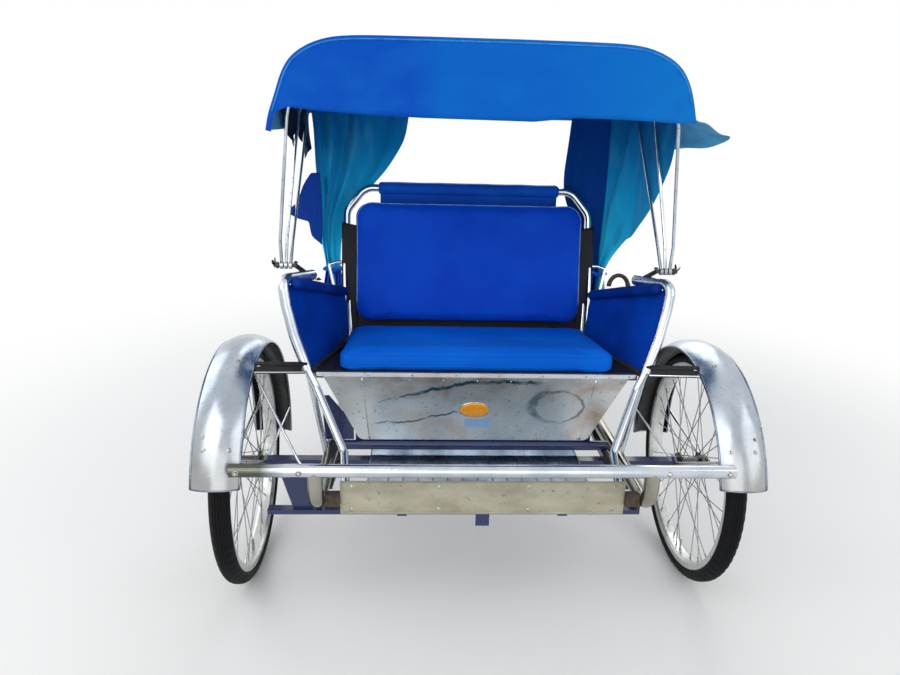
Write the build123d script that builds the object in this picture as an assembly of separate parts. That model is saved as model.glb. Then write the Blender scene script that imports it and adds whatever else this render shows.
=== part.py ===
from build123d import *
import math
import os

# Three-wheeled cycle rickshaw, in millimetres.
# The passengers' end faces -Y, the rider sits at +Y, +X is the vehicle's left and +Z is up.
# Places below count y from the front axle and z from the floor. The last lines move the finished
# pieces so that the origin is on the floor under the middle of the whole length.

# Wheels
wheel_radius = 335.0
track = 1300.0
wheelbase = 1500.0
tyre_half_width = 27.0
rim_half_width = 20.5
rim_lip_radius = 302.6
rim_base_radius = 282.0
hub_half_length = 46.0
hub_barrel_radius = 16.0
hub_flange_radius = 33.0
hub_flange_inner = 29.0
hub_flange_thickness = 4.0
spoke_count = 36
spoke_radius = 1.3
spoke_hole_radius = 27.0
spoke_sweep_deg = 60.0
axle_radius = 8.0
running_gap = 0.05

# Mudguards
guard_crown_radius = 372.0
guard_edge_radius = 350.0
guard_half_width = 59.0
guard_thickness = 2.0
guard_front_lift_deg = 17.0
guard_rear_drop_deg = 10.0
rear_guard_drop_deg = 35.0

# Chassis of the passenger carriage
axle_beam_half = 15.0
stub_overhang = 18.0
nut_radius = 14.0
rail_x = 405.0
rail_z = 400.0
rail_radius = 19.0
rail_rear_y = 420.0
bumper_y = -365.0
bumper_z = 505.0
bumper_radius = 16.0
cross_radius = 14.0
cross_front_y = -15.0
cross_rear_y = 360.0
rail_corner = 60.0
leaf_thickness = 6.0
leaf_half_width = 22.0
leaf_curve_radius = 1900.0
head_y = 620.0
head_pin_radius = 12.0
head_radius = 21.0
yoke_y = 556.0
yoke_radius = 18.0
yoke_low = 338.0
yoke_high = 512.0
yoke_plate = 8.0

# Seat
seat_front_y = -50.0
seat_rear_y = 385.0
seat_front_z = 638.0
seat_slope = 0.118
seat_board_thickness = 20.0
seat_front_half_width = 446.0
seat_rear_half_width = 386.0
cushion_half_width = 390.0
cushion_thickness = 62.0
backrest_half_width = 378.0
backrest_height = 400.0
backrest_thickness = 52.0
backrest_lean_deg = 12.0
backrest_foot_y = 352.0
backrest_foot_z = 655.0
apron_top_half_width = 424.0
apron_bottom_half_width = 328.0
apron_top_z = 630.0
apron_bottom_z = 418.0
apron_corner = 22.0
strip_half_width = 440.0
box_half_width = 340.0
box_front_y = -12.0
box_rear_y = 372.0
sheet = 2.0
seam = 0.3

# Foot tray
tray_front_y = -335.0
tray_floor_z = 375.0
tray_half_width = 295.0
plate_half_width = 350.0
plate_top_z = 462.0
runner_x = 200.0

# Hood
hood_pivot_y = 60.0
hood_pivot_z = 905.0
hood_pin_radius = 5.0
bow_radius = 4.5
roof_z = 1490.0
valance_z = 1305.0
roof_half_width = 539.0
roof_front_y = -15.0
roof_rear_y = 560.0
cloth = 3.0
curtain_y = 545.0
curtain_thickness = 6.0

# Arms and push frame
arm_tube_radius = 15.0
arm_roll_radius = 13.0
push_tube_radius = 12.5
push_bar_y = 522.0
push_bar_z = 1073.0
push_wrap_radius = 22.0
push_wrap_half_length = 300.0

# Rider's half
bottom_bracket_y = 960.0
bottom_bracket_z = 290.0
seat_tube_top_y = 1110.0
seat_tube_top_z = 900.0
saddle_z = 1022.0
chain_x = -58.0
chainring_pitch_radius = 97.0
chainring_teeth = 48
sprocket_pitch_radius = 44.5
sprocket_teeth = 22
crank_length = 170.0
crank_arm_x = 84.0
pedal_pin_radius = 5.0
pedal_pin_length = 94.0
dropout_x = 72.0
drum_radius = 48.0


def straight_rod(start, end, radius):
    """A round bar between two points."""
    run = Vector(*end) - Vector(*start)
    return extrude(Plane(origin=start, z_dir=run) * Circle(radius), amount=run.length)


def bent_rod(points, radius, bend):
    """A round tube along straight runs joined by tangent bends."""
    path = FilletPolyline(*points, radius=bend)
    return sweep(Plane(origin=path @ 0, z_dir=path % 0) * Circle(radius), path=path)


def barrel(x_from, x_to, radius, y=0.0, z=0.0):
    """A round bar across the vehicle."""
    return straight_rod((x_from, y, z), (x_to, y, z), radius)


def block(x_from, x_to, y_from, y_to, z_from, z_to):
    """A rectangular block between two corners."""
    centre = ((x_from + x_to) / 2, (y_from + y_to) / 2, (z_from + z_to) / 2)
    return Pos(*centre) * Box(x_to - x_from, y_to - y_from, z_to - z_from)


def side_profile(points, half_width, x_centre=0.0):
    """A closed outline of (y, z) points pushed out across the vehicle to both sides."""
    face = make_face(Polyline(*[(0, y, z) for y, z in points], close=True))
    return Pos(x_centre - half_width, 0, 0) * extrude(face, amount=2 * half_width, dir=(1, 0, 0))


def main_solid(shape):
    """The largest solid of a trimmed shape, without the offcuts."""
    return max(shape.solids(), key=lambda solid: solid.volume)


def turned_ring(outline):
    """A ring about X from a closed outline of (x, radius) points."""
    return revolve(make_face(Polyline(*outline, close=True)), axis=Axis.X)


def mirrored(points):
    """A half outline from the middle outwards, doubled to both sides."""
    return points + [(-x, radius) for x, radius in reversed(points)]


def tyre():
    """Tyre ring: flat crown, sloping shoulders and side walls that close in on the rim's lips."""
    return turned_ring(
        mirrored(
            [
                (14.0, wheel_radius),
                (tyre_half_width, wheel_radius - 15.0),
                (rim_half_width - 1.6, rim_lip_radius),
            ]
        )
    )


def rim():
    """Wide channel rim with two straight lips and a tapered underside."""
    return turned_ring(
        mirrored(
            [
                (rim_half_width - 7.5, rim_base_radius),
                (rim_half_width, rim_base_radius + 5.0),
                (rim_half_width, rim_lip_radius),
                (rim_half_width - 3.2, rim_lip_radius),
                (rim_half_width - 3.2, rim_base_radius + 7.0),
            ]
        )[::-1]
    )


def hub():
    """Hub shell with two spoke flanges, bearing cups and the axle's hole."""
    flange_outer = hub_flange_inner + hub_flange_thickness
    shell = barrel(-flange_outer, flange_outer, hub_barrel_radius)
    shell += barrel(-hub_half_length, hub_half_length, hub_barrel_radius + 3.0)
    for side in (-1, 1):
        shell += barrel(side * hub_flange_inner, side * flange_outer, hub_flange_radius)
    return shell - barrel(-hub_half_length, hub_half_length, axle_radius + running_gap)


def spokes():
    """Crossed spokes, each laced nearly tangent to its flange, the two layers passing clear."""
    # side of the hub, layer on the flange, sweep from rim hole to hub hole, shift at the rim
    lacing = [
        (1, 1, 1, 7.0),
        (1, -1, -1, 3.0),
        (-1, 1, 1, -7.0),
        (-1, -1, -1, -3.0),
    ]
    flange_middle = hub_flange_inner + hub_flange_thickness / 2
    layer_shift = hub_flange_thickness / 2 + spoke_radius - 0.4
    wires = []
    for number in range(spoke_count):
        side, layer, sweep_way, rim_shift = lacing[number % 4]
        rim_angle = math.radians(number * 360.0 / spoke_count)
        hub_angle = rim_angle + sweep_way * math.radians(spoke_sweep_deg)
        hub_x = side * (flange_middle + layer * layer_shift)
        inner = (
            hub_x,
            spoke_hole_radius * math.cos(hub_angle),
            spoke_hole_radius * math.sin(hub_angle),
        )
        outer_radius = rim_base_radius + 2.0
        outer = (
            rim_shift,
            outer_radius * math.cos(rim_angle),
            outer_radius * math.sin(rim_angle),
        )
        wires.append(straight_rod(inner, outer, spoke_radius))
    return wires


def laced_wheel():
    """Rim, hub and spokes joined into one wheel."""
    return main_solid(Part() + [rim(), hub()] + spokes())


def guard_section(thickness):
    """Crowned strip of a mudguard, in the plane of X and the radius."""
    outer = ThreePointArc(
        (-guard_half_width, guard_edge_radius),
        (0, guard_crown_radius),
        (guard_half_width, guard_edge_radius),
    )
    inner = ThreePointArc(
        (guard_half_width - thickness, guard_edge_radius - thickness),
        (0, guard_crown_radius - thickness),
        (-guard_half_width + thickness, guard_edge_radius - thickness),
    )
    return make_face([outer, Line(outer @ 1, inner @ 0), inner, Line(inner @ 1, outer @ 0)])


def mudguard(rear_drop, span):
    """Mudguard over a wheel at the origin, from behind the wheel over its top."""
    section = Rot(X=-rear_drop) * guard_section(guard_thickness)
    return revolve(section, axis=Axis.X, revolution_arc=span)


def on_wheel(radius, elevation_deg, x, y_centre=0.0):
    """A point at a radius around a wheel's axle, its elevation counted up from the rear."""
    angle = math.radians(elevation_deg)
    return (x, y_centre + radius * math.cos(angle), wheel_radius + radius * math.sin(angle))


parts = {}

# Three like wheels
wheel_model = laced_wheel()
tyre_model = tyre()
# name, x of its middle, y of its axle
wheel_places = [
    ("front_wheel_left", track / 2, 0.0),
    ("front_wheel_right", -track / 2, 0.0),
    ("rear_wheel", 0.0, wheelbase),
]
for name, wheel_x, wheel_y in wheel_places:
    place = Pos(wheel_x, wheel_y, wheel_radius)
    parts[name] = place * wheel_model
    parts[name.replace("wheel", "tyre")] = place * tyre_model

# Front axle: square beam with a turned stub and nut at each end
beam_end = track / 2 - hub_half_length - 4.0
stub_end = track / 2 + hub_half_length + stub_overhang
axle = block(
    -beam_end,
    beam_end,
    -axle_beam_half,
    axle_beam_half,
    wheel_radius - axle_beam_half,
    wheel_radius + axle_beam_half,
)
axle += barrel(-stub_end, stub_end, axle_radius, 0, wheel_radius)
for side in (-1, 1):
    nut = Plane(origin=(side * (stub_end - 12.0), 0, wheel_radius), z_dir=(side, 0, 0))
    axle += extrude(nut * RegularPolygon(nut_radius, 6), amount=9.0)
parts["front_axle"] = axle


def chassis_rail(side):
    """Rail that hangs from the bumper, runs back over the axle and closes in on the yoke."""
    return bent_rod(
        [
            (side * rail_x, bumper_y + rail_radius - bumper_radius, bumper_z),
            (side * rail_x, bumper_y + rail_radius - bumper_radius, rail_z),
            (side * rail_x, rail_rear_y, rail_z),
            (side * yoke_radius, yoke_y, rail_z),
        ],
        rail_radius,
        rail_corner,
    )


def leaf_spring(side):
    """Three stacked leaves between the axle beam and the rail above it."""
    seat_z = wheel_radius + axle_beam_half + 0.1
    centre_z = seat_z + leaf_curve_radius
    x_from = side * rail_x - leaf_half_width
    x_to = side * rail_x + leaf_half_width
    pack = Part()
    # half length of each leaf, from the lowest up
    for level, half_length in enumerate([90.0, 160.0, 225.0]):
        radius = leaf_curve_radius - level * leaf_thickness
        lower_face = barrel(x_from, x_to, radius, 0, centre_z)
        upper_face = barrel(x_from, x_to, radius - leaf_thickness, 0, centre_z)
        window = block(x_from, x_to, -half_length, half_length, seat_z - 1.0, seat_z + 60.0)
        pack += window & (lower_face - upper_face)
    return pack


yoke_post = straight_rod((0, yoke_y, yoke_low), (0, yoke_y, yoke_high), yoke_radius)
bumper_end = track / 2 - guard_half_width + 12.0
bumper = barrel(-bumper_end, bumper_end, bumper_radius, bumper_y, bumper_z)
parts["bumper"] = bumper

for side, hand in ((1, "left"), (-1, "right")):
    parts["chassis_rail_" + hand] = main_solid(chassis_rail(side) - bumper - yoke_post)
    parts["leaf_spring_" + hand] = main_solid(leaf_spring(side) - parts["chassis_rail_" + hand])

# Yoke at the back of the carriage: post, two plates and the upright steering pin
yoke = yoke_post
for z in (yoke_low, yoke_high - yoke_plate):
    yoke += block(-22, 22, yoke_y, head_y, z, z + yoke_plate)
    yoke += straight_rod((0, head_y, z), (0, head_y, z + yoke_plate), 22.0)
yoke += straight_rod((0, head_y, yoke_low - 10), (0, head_y, yoke_high + 10), head_pin_radius)
parts["steering_yoke"] = yoke


def seat_z_at(y):
    """Height of the seat board's top at a distance along the vehicle."""
    return seat_front_z - (y - seat_front_y) * seat_slope


# Seat board: a tapered plan cut to the sloping side profile
board_plan = extrude(
    make_face(
        Polyline(
            (-seat_front_half_width, seat_front_y),
            (seat_front_half_width, seat_front_y),
            (seat_rear_half_width, seat_rear_y),
            (-seat_rear_half_width, seat_rear_y),
            close=True,
        )
    ),
    amount=800,
)
board_side = side_profile(
    [
        (seat_front_y, seat_z_at(seat_front_y) - seat_board_thickness),
        (seat_rear_y, seat_z_at(seat_rear_y) - seat_board_thickness),
        (seat_rear_y, seat_z_at(seat_rear_y)),
        (seat_front_y, seat_z_at(seat_front_y)),
    ],
    500,
)
parts["seat_board"] = main_solid(board_plan & board_side)

# Closed seat box, welded on two cross tubes that run between the rails
box_floor_z = rail_z + cross_radius - 2.0
box_nose = 35.0
box_wall = 2.5


def box_outline(inset):
    """Side outline of the seat box, drawn in from its outer faces."""
    lift = seat_board_thickness + seam + inset
    nose_y = box_front_y - box_nose
    return [
        (box_front_y + inset, box_floor_z + inset),
        (box_rear_y - inset, box_floor_z + inset),
        (box_rear_y - inset, seat_z_at(box_rear_y) - lift),
        (nose_y + inset, seat_z_at(nose_y) - lift),
    ]


seat_box = side_profile(box_outline(0), box_half_width)
for y in (cross_front_y, cross_rear_y):
    bearer = barrel(-rail_x, rail_x, cross_radius, y, rail_z)
    seat_box += bearer - parts["chassis_rail_left"] - parts["chassis_rail_right"]
parts["seat_box"] = main_solid(
    seat_box - side_profile(box_outline(box_wall), box_half_width - box_wall)
)

# Cushion and backrest pad
cushion_front_y = seat_front_y - 10.0
cushion_rear_y = 340.0
cushion_lift = 0.5
cushion = side_profile(
    [
        (cushion_front_y, seat_z_at(cushion_front_y) + cushion_lift),
        (cushion_rear_y, seat_z_at(cushion_rear_y) + cushion_lift),
        (cushion_rear_y, seat_z_at(cushion_rear_y) + cushion_thickness),
        (cushion_front_y, seat_z_at(cushion_front_y) + cushion_thickness),
    ],
    cushion_half_width,
)
parts["seat_cushion"] = fillet(cushion.edges(), 14)

lean = math.radians(backrest_lean_deg)
backrest_plane = Plane(
    origin=(0, backrest_foot_y, backrest_foot_z),
    x_dir=(-1, 0, 0),
    z_dir=(0, math.cos(lean), -math.sin(lean)),
)


def back_panel(half_width, low, high, corner):
    """Backrest outline with rounded top corners, in the leaning plane."""
    outline = Pos(0, (low + high) / 2) * Rectangle(2 * half_width, high - low)
    top_corners = outline.vertices().sort_by(Axis.Y)[-2:]
    return fillet(top_corners, corner)


pad_face = backrest_plane * back_panel(backrest_half_width, 0, backrest_height, 50)
parts["backrest_pad"] = extrude(pad_face, amount=backrest_thickness)
board_face = backrest_plane.offset(backrest_thickness + 0.5) * back_panel(
    backrest_half_width - 6, -45, backrest_height - 8, 46
)
parts["backrest_board"] = extrude(board_face, amount=9)


stay_foot_y = 378.0


def push_frame():
    """Tube that stands on both rails, runs up beside the backrest and over behind it."""
    # x, y, z from the rail's top to the top bar
    leg = [
        (rail_x, 400.0, rail_z + rail_radius - 3.0),
        (rail_x, 412.0, 600.0),
        (rail_x - 2, 498.0, 1000.0),
        (rail_x - 60, push_bar_y, push_bar_z),
    ]
    hoop = bent_rod(leg + [(-x, y, z) for x, y, z in reversed(leg)], push_tube_radius, 55.0)
    for side in (-1, 1):
        on_leg = (side * (rail_x - 3), 478.0, 905.0)
        on_seat = (side * 385.0, stay_foot_y, seat_z_at(stay_foot_y) - 1.0)
        hoop += straight_rod(on_leg, on_seat, 5.5)
    return hoop


push_tube = push_frame() - parts["seat_board"]
for hand in ("left", "right"):
    push_tube = push_tube - parts["chassis_rail_" + hand]
parts["push_frame"] = main_solid(push_tube)
wrap = barrel(-push_wrap_half_length, push_wrap_half_length, push_wrap_radius, push_bar_y, push_bar_z)
bar_room = push_tube_radius + seam
wrap -= barrel(-push_wrap_half_length, push_wrap_half_length, bar_room, push_bar_y, push_bar_z)
parts["push_bar_wrap"] = wrap


def arm_tube(side):
    """Arm's edge tube from the arm top, round the front and down to the seat's corner."""
    return bent_rod(
        [
            (side * 468, 128, 864),
            (side * 532, 6, 878),
            (side * 521, -10, 812),
            (side * 500, -32, 738),
            (side * 462, -66, 645),
        ],
        arm_tube_radius,
        30.0,
    )


panel_rear_y = 366.0


def arm_panel(side):
    """Painted sheet filling the arm from its front tube back to the seat's rear corner."""
    # places along the front tube, and above one another at the rear
    front_line = [(528, 4, 866), (519, -9, 812), (498, -31, 738), (474, -52, 678), (458, -60, 646)]
    rear_line = [(404 - 3 * step, panel_rear_y, 752 - 38 * step) for step in range(5)]
    panel = Part()
    for step in range(4):
        ends = []
        for line in (front_line, rear_line):
            corners = [(side * x, y, z) for x, y, z in line[step : step + 2]]
            corners += [(x - side * 3, y, z) for x, y, z in reversed(corners)]
            ends.append(make_face(Polyline(*corners, close=True)))
        panel += loft(ends, ruled=True)
    return panel


for side, hand in ((1, "left"), (-1, "right")):
    tube = arm_tube(side)
    panel = arm_panel(side)
    roll = straight_rod((side * 497, 22, 864), (side * 403, panel_rear_y, 756), arm_roll_radius)
    parts["arm_tube_" + hand] = main_solid(tube - parts["seat_board"])
    parts["arm_panel_" + hand] = main_solid(panel + roll - tube - parts["seat_board"])
    parts["arm_tube_" + hand] = main_solid(parts["arm_tube_" + hand] - parts["arm_panel_" + hand])


def apron():
    """Polished sheet narrowing downwards from the seat's front strip, in line with the box's nose."""
    top_y = seat_front_y - 3.5
    bottom_y = box_front_y - 4.0
    rise = math.hypot(apron_top_z - apron_bottom_z, top_y - bottom_y)
    up_the_sheet = Vector(0, top_y - bottom_y, apron_top_z - apron_bottom_z).normalized()
    plane = Plane(
        origin=(0, bottom_y, apron_bottom_z), x_dir=(1, 0, 0), z_dir=Vector(1, 0, 0).cross(up_the_sheet)
    )
    outline = make_face(
        Polyline(
            (-apron_bottom_half_width, 0),
            (apron_bottom_half_width, 0),
            (apron_top_half_width, rise),
            (-apron_top_half_width, rise),
            close=True,
        )
    )
    low_corners = outline.vertices().sort_by(Axis.Y)[:2]
    strip = block(
        -strip_half_width,
        strip_half_width,
        seat_front_y - 8.0,
        seat_front_y - 0.2,
        seat_front_z - 13.0,
        seat_front_z - 1.0,
    )
    return strip + extrude(plane * fillet(low_corners, apron_corner), amount=sheet)


parts["apron"] = main_solid(apron() - parts["seat_box"] - parts["seat_board"])

# Foot tray: floor with low side walls, and a wide plate across its front
tray_rear_y = cross_front_y - 1.0
tray_top_z = rail_z - cross_radius - 0.1
tray = block(-tray_half_width, tray_half_width, tray_front_y, tray_rear_y, tray_floor_z, tray_top_z)
tray -= block(
    -tray_half_width + sheet,
    tray_half_width - sheet,
    tray_front_y + sheet,
    tray_rear_y - sheet,
    tray_floor_z + sheet,
    rail_z,
)
parts["foot_tray"] = tray
plate_face_y = tray_front_y - 3.2
parts["tray_front_plate"] = block(
    -plate_half_width, plate_half_width, plate_face_y, tray_front_y - 0.2, tray_floor_z - 3.0, plate_top_z
)

# Painted frame under the tray: a cross bar hung from the rails, two runners back to the axle, a middle
# tab, and an outrigger with a gusset beside the right rail
frame_top_z = tray_floor_z - 0.2
frame_low_z = frame_top_z - 12.0
bar_half = 12.0
bar_end_x = rail_x - 12.0
front_bar_y = tray_front_y + 22.0
outrigger_end_x = 530.0
bar_from = front_bar_y - bar_half
bar_to = front_bar_y + bar_half
tray_frame = block(-outrigger_end_x, bar_end_x, bar_from, bar_to, frame_low_z, frame_top_z)
axle_top_z = wheel_radius + axle_beam_half
for side in (-1, 1):
    lug_x = side * bar_end_x
    tray_frame += block(lug_x - 4.0, lug_x + 4.0, bar_from, bar_to, frame_low_z, rail_z)
    run_x = side * runner_x
    tray_frame += block(
        run_x - bar_half, run_x + bar_half, tray_front_y + 3.0, axle_beam_half, frame_low_z, frame_top_z
    )
    tray_frame += block(
        run_x - bar_half, run_x + bar_half, -axle_beam_half, axle_beam_half, axle_top_z, frame_low_z
    )
tray_frame += block(-17, 17, tray_front_y + 3.0, tray_front_y + 10.0, frame_low_z - 28.0, frame_top_z)
gusset = make_face(
    Polyline(
        (-rail_x - 15.0, front_bar_y, frame_top_z - 4.0),
        (-rail_x - 62.0, front_bar_y, frame_top_z - 4.0),
        (-rail_x - 90.0, front_bar_y, 468.0),
        (-rail_x - 15.0, front_bar_y, 468.0),
        close=True,
    )
)
tray_frame += Pos(0, -2.5, 0) * extrude(gusset, amount=5.0, dir=(0, 1, 0))
for hand in ("left", "right"):
    tray_frame = tray_frame - parts["chassis_rail_" + hand]
parts["tray_frame"] = main_solid(tray_frame)


def foot_hanger(side):
    """Slim tube from the seat's front corner down to the ends of the tray's front plate."""
    return bent_rod(
        [
            (side * 468, -61, 660),
            (side * 436, -80, 600),
            (side * 352, -205, 470),
            (side * 338, tray_front_y + 11.5, 440),
        ],
        10.5,
        30.0,
    )


for side, hand in ((1, "left"), (-1, "right")):
    leg = straight_rod((side * 463, -62, 654), (side * 418, -64, rail_z), 8.0)
    hanger = foot_hanger(side) + leg - parts["seat_board"] - parts["apron"] - parts["chassis_rail_" + hand]
    parts["arm_tube_" + hand] = main_solid(parts["arm_tube_" + hand] + hanger)

# Mudguards, their stays and the brackets that tie them to the seat
span = 180 - guard_front_lift_deg + guard_rear_drop_deg
guard_model = mudguard(guard_rear_drop_deg, span)


stay_radius = 4.0
stay_eye_radius = 27.0
# angle up from the rear of each stay
stay_elevations = (4.0, 152.0)


def guard_stays(side):
    """Rods from a plate on the axle stub to the guard's edges, front and back."""
    x_wheel = side * track / 2
    # x of the plate, x where the rods meet the guard
    rows = [
        (x_wheel - side * (hub_half_length + 2.5), x_wheel - side * (guard_half_width - 3)),
        (x_wheel + side * (hub_half_length + 3.5), x_wheel + side * (guard_half_width - 3)),
    ]
    made = []
    for x_plate, x_edge in rows:
        plate = barrel(x_plate - 1, x_plate + 1, stay_eye_radius, 0, wheel_radius)
        for elevation in stay_elevations:
            root = on_wheel(stay_eye_radius - 2.0, elevation, x_plate)
            tip = on_wheel(guard_edge_radius + 2, elevation, x_edge)
            plate += straight_rod(root, tip, stay_radius)
        plate -= barrel(x_plate - 3, x_plate + 3, axle_radius + 0.1, 0, wheel_radius)
        made.append(plate)
    return made


for side, hand in ((1, "left"), (-1, "right")):
    guard = Pos(side * track / 2, 0, wheel_radius) * guard_model
    inner_stays, outer_stays = guard_stays(side)
    parts["guard_stays_inner_" + hand] = main_solid(inner_stays - guard)
    parts["guard_stays_outer_" + hand] = main_solid(outer_stays - guard)
    guard_inner_x = track / 2 - guard_half_width
    on_guard = Vector(side * (guard_inner_x + 4), -110, 667)
    on_arm = Vector(side * 464, -66, 652)
    strap_end = Plane(origin=on_guard, x_dir=(0, 1, 0.35), z_dir=on_arm - on_guard)
    bracket = extrude(strap_end * Rectangle(8.0, 36.0), amount=(on_arm - on_guard).length)
    bracket = bracket - parts["arm_tube_" + hand] - parts["arm_panel_" + hand]
    parts["mudguard_" + hand] = main_solid(guard + main_solid(bracket))
    parts["bumper"] = main_solid(parts["bumper"] - guard)

# Hood pins on the arms, each with a strut down to the arm's roll
# bow, x of its eye, y of its top
bows = [
    ("front", 541.0, 0.0),
    ("middle", 529.0, 275.0),
    ("rear", 517.0, 520.0),
]
eye_half = 4.0
for side, hand in ((1, "left"), (-1, "right")):
    strut = barrel(side * 500, side * 553, hood_pin_radius, hood_pivot_y, hood_pivot_z)
    strut += barrel(side * 549, side * 553, 9.0, hood_pivot_y, hood_pivot_z)
    strut += straight_rod((side * 504, hood_pivot_y, hood_pivot_z), (side * 455, 150, 838), 6.5)
    strut = strut - parts["arm_tube_" + hand] - parts["arm_panel_" + hand]
    parts["hood_bracket_" + hand] = main_solid(strut)


def hood_bow(eye_x, top_y):
    """Hoop standing on two eyes, bent in to the roof, leaning to its place in the hood."""
    rise = roof_z - 8.0 - hood_pivot_z
    reach = math.hypot(top_y - hood_pivot_y, rise)
    # x, height along the hoop
    half = [
        (eye_x, 8.0),
        (eye_x, 70.0),
        (504.0, reach - 190.0),
        (478.0, reach - 70.0),
        (370.0, reach - 6.0),
    ]
    points = [(x, 0, h) for x, h in half] + [(-x, 0, h) for x, h in reversed(half)]
    hoop = bent_rod(points, bow_radius, 50.0)
    for side in (-1, 1):
        eye_from = side * (eye_x - eye_half)
        eye_to = side * (eye_x + eye_half)
        hoop += barrel(eye_from, eye_to, 10.0)
        hoop -= barrel(eye_from, eye_to, hood_pin_radius + running_gap)
    tilt = math.degrees(math.atan2(hood_pivot_y - top_y, rise))
    return Pos(0, hood_pivot_y, hood_pivot_z) * (Rot(X=tilt) * hoop)


for name, eye_x, top_y in bows:
    parts["hood_bow_" + name] = main_solid(hood_bow(eye_x, top_y))


def roof_arch(grow, y_from, y_to):
    """Rounded arch of the canopy across the vehicle, from one roof line to another."""
    wide = roof_half_width + grow
    top = roof_z + cloth + grow
    outline = Polyline(
        (-wide, 0, valance_z),
        (-wide + 14, 0, valance_z + 55),
        (-wide + 75, 0, top - 48),
        (-wide + 190, 0, top - 8),
        (0, 0, top),
        (wide - 190, 0, top - 8),
        (wide - 75, 0, top - 48),
        (wide - 14, 0, valance_z + 55),
        (wide, 0, valance_z),
        close=True,
    )
    return Pos(0, y_from, 0) * extrude(make_face(outline), amount=y_to - y_from, dir=(0, 1, 0))


panel_split_y = bows[1][2]
front_panel = roof_arch(0, roof_front_y, panel_split_y - 0.5)
front_panel -= roof_arch(-cloth, roof_front_y + cloth, panel_split_y + 5)
front_panel -= block(-700, 700, roof_front_y + cloth, panel_split_y + 5, valance_z - 5, valance_z + 0.5)
rear_panel = roof_arch(0, panel_split_y + 0.5, roof_rear_y)
rear_panel -= roof_arch(-cloth, panel_split_y - 5, roof_rear_y - cloth)
parts["canopy_front"] = main_solid(front_panel - parts["hood_bow_front"] - parts["hood_bow_middle"])
parts["canopy_rear"] = main_solid(rear_panel - parts["hood_bow_middle"] - parts["hood_bow_rear"])


def curtain(side, inner_x):
    """Tied-back curtain, wide at the roof and gathered to a point beside the backrest."""
    outline = Polyline(
        (side * inner_x, 0, 1330),
        (side * 500, 0, 1330),
        (side * 462, 0, 800),
        (side * 425, 0, 800),
        close=True,
    )
    return Pos(0, curtain_y, 0) * extrude(make_face(outline), amount=curtain_thickness, dir=(0, 1, 0))


parts["curtain_left"] = curtain(1, 350)
parts["curtain_right"] = curtain(-1, 185)

# Rider's frame
head_low = yoke_low + yoke_plate + 1.0
head_high = yoke_high - yoke_plate - 1.0
head_tube = straight_rod((0, head_y, head_low), (0, head_y, head_high), head_radius)
head_bore = straight_rod((0, head_y, head_low), (0, head_y, head_high), head_pin_radius + running_gap)
parts["head_tube"] = head_tube - head_bore
bracket_shell = barrel(-34, 34, 21.0, bottom_bracket_y, bottom_bracket_z)
bracket_bore = barrel(-34, 34, axle_radius + running_gap, bottom_bracket_y, bottom_bracket_z)
seat_tube = straight_rod(
    (0, bottom_bracket_y, bottom_bracket_z), (0, seat_tube_top_y, seat_tube_top_z), 15.0
)
seat_tube += bracket_shell
brace = straight_rod((0, head_y, 470), (0, 1060, 700), 13.0)
seat_tube += brace - head_tube
parts["seat_tube"] = main_solid(seat_tube - bracket_bore)
main_tube = bent_rod(
    [(0, head_y, 385), (0, 720, 385), (0, bottom_bracket_y, bottom_bracket_z)], 18.0, 60.0
)
parts["main_tube"] = main_solid(main_tube - head_tube - parts["seat_tube"] - bracket_bore)

for side, hand in ((1, "left"), (-1, "right")):
    lug_x = side * dropout_x
    dropout = straight_rod(
        (lug_x - 3, wheelbase, wheel_radius), (lug_x + 3, wheelbase, wheel_radius), 24.0
    )
    dropout -= barrel(lug_x - 3, lug_x + 3, axle_radius + 0.1, wheelbase, wheel_radius)
    chain_stay = bent_rod(
        [
            (side * 22, bottom_bracket_y + 12, bottom_bracket_z + 4),
            (side * 50, bottom_bracket_y + 170, bottom_bracket_z + 18),
            (lug_x, wheelbase - 20, wheel_radius),
        ],
        9.0,
        90.0,
    )
    chain_stay = main_solid(chain_stay + dropout - parts["seat_tube"] - bracket_bore - parts["main_tube"])
    parts["chain_stay_" + hand] = main_solid(
        chain_stay - barrel(lug_x - 12, lug_x + 12, axle_radius + 0.1, wheelbase, wheel_radius)
    )
    seat_stay = bent_rod(
        [
            (side * 14, seat_tube_top_y - 6, seat_tube_top_z - 20),
            (side * 74, seat_tube_top_y + 80, seat_tube_top_z - 120),
            (lug_x, wheelbase, wheel_radius + 16),
        ],
        7.5,
        60.0,
    )
    parts["seat_stay_" + hand] = main_solid(seat_stay - parts["seat_tube"] - parts["chain_stay_" + hand])

rear_axle = barrel(-dropout_x - 16, dropout_x + 16, axle_radius, wheelbase, wheel_radius)
for side in (-1, 1):
    nut = Plane(origin=(side * (dropout_x + 4), wheelbase, wheel_radius), z_dir=(side, 0, 0))
    rear_axle += extrude(nut * RegularPolygon(13.0, 6), amount=8.0)
parts["rear_axle"] = rear_axle

rear_guard = Pos(0, wheelbase, wheel_radius) * mudguard(rear_guard_drop_deg, rear_guard_drop_deg + 160.0)
for side, hand in ((1, "left"), (-1, "right")):
    for elevation in (-25.0, 38.0):
        root = on_wheel(26.0, elevation, side * dropout_x, wheelbase)
        tip = on_wheel(guard_edge_radius + 2, elevation, side * (guard_half_width - 2), wheelbase)
        rod = straight_rod(root, tip, 3.5)
        rear_guard += rod - parts["chain_stay_" + hand] - parts["seat_stay_" + hand]
parts["rear_mudguard"] = main_solid(rear_guard)

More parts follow.
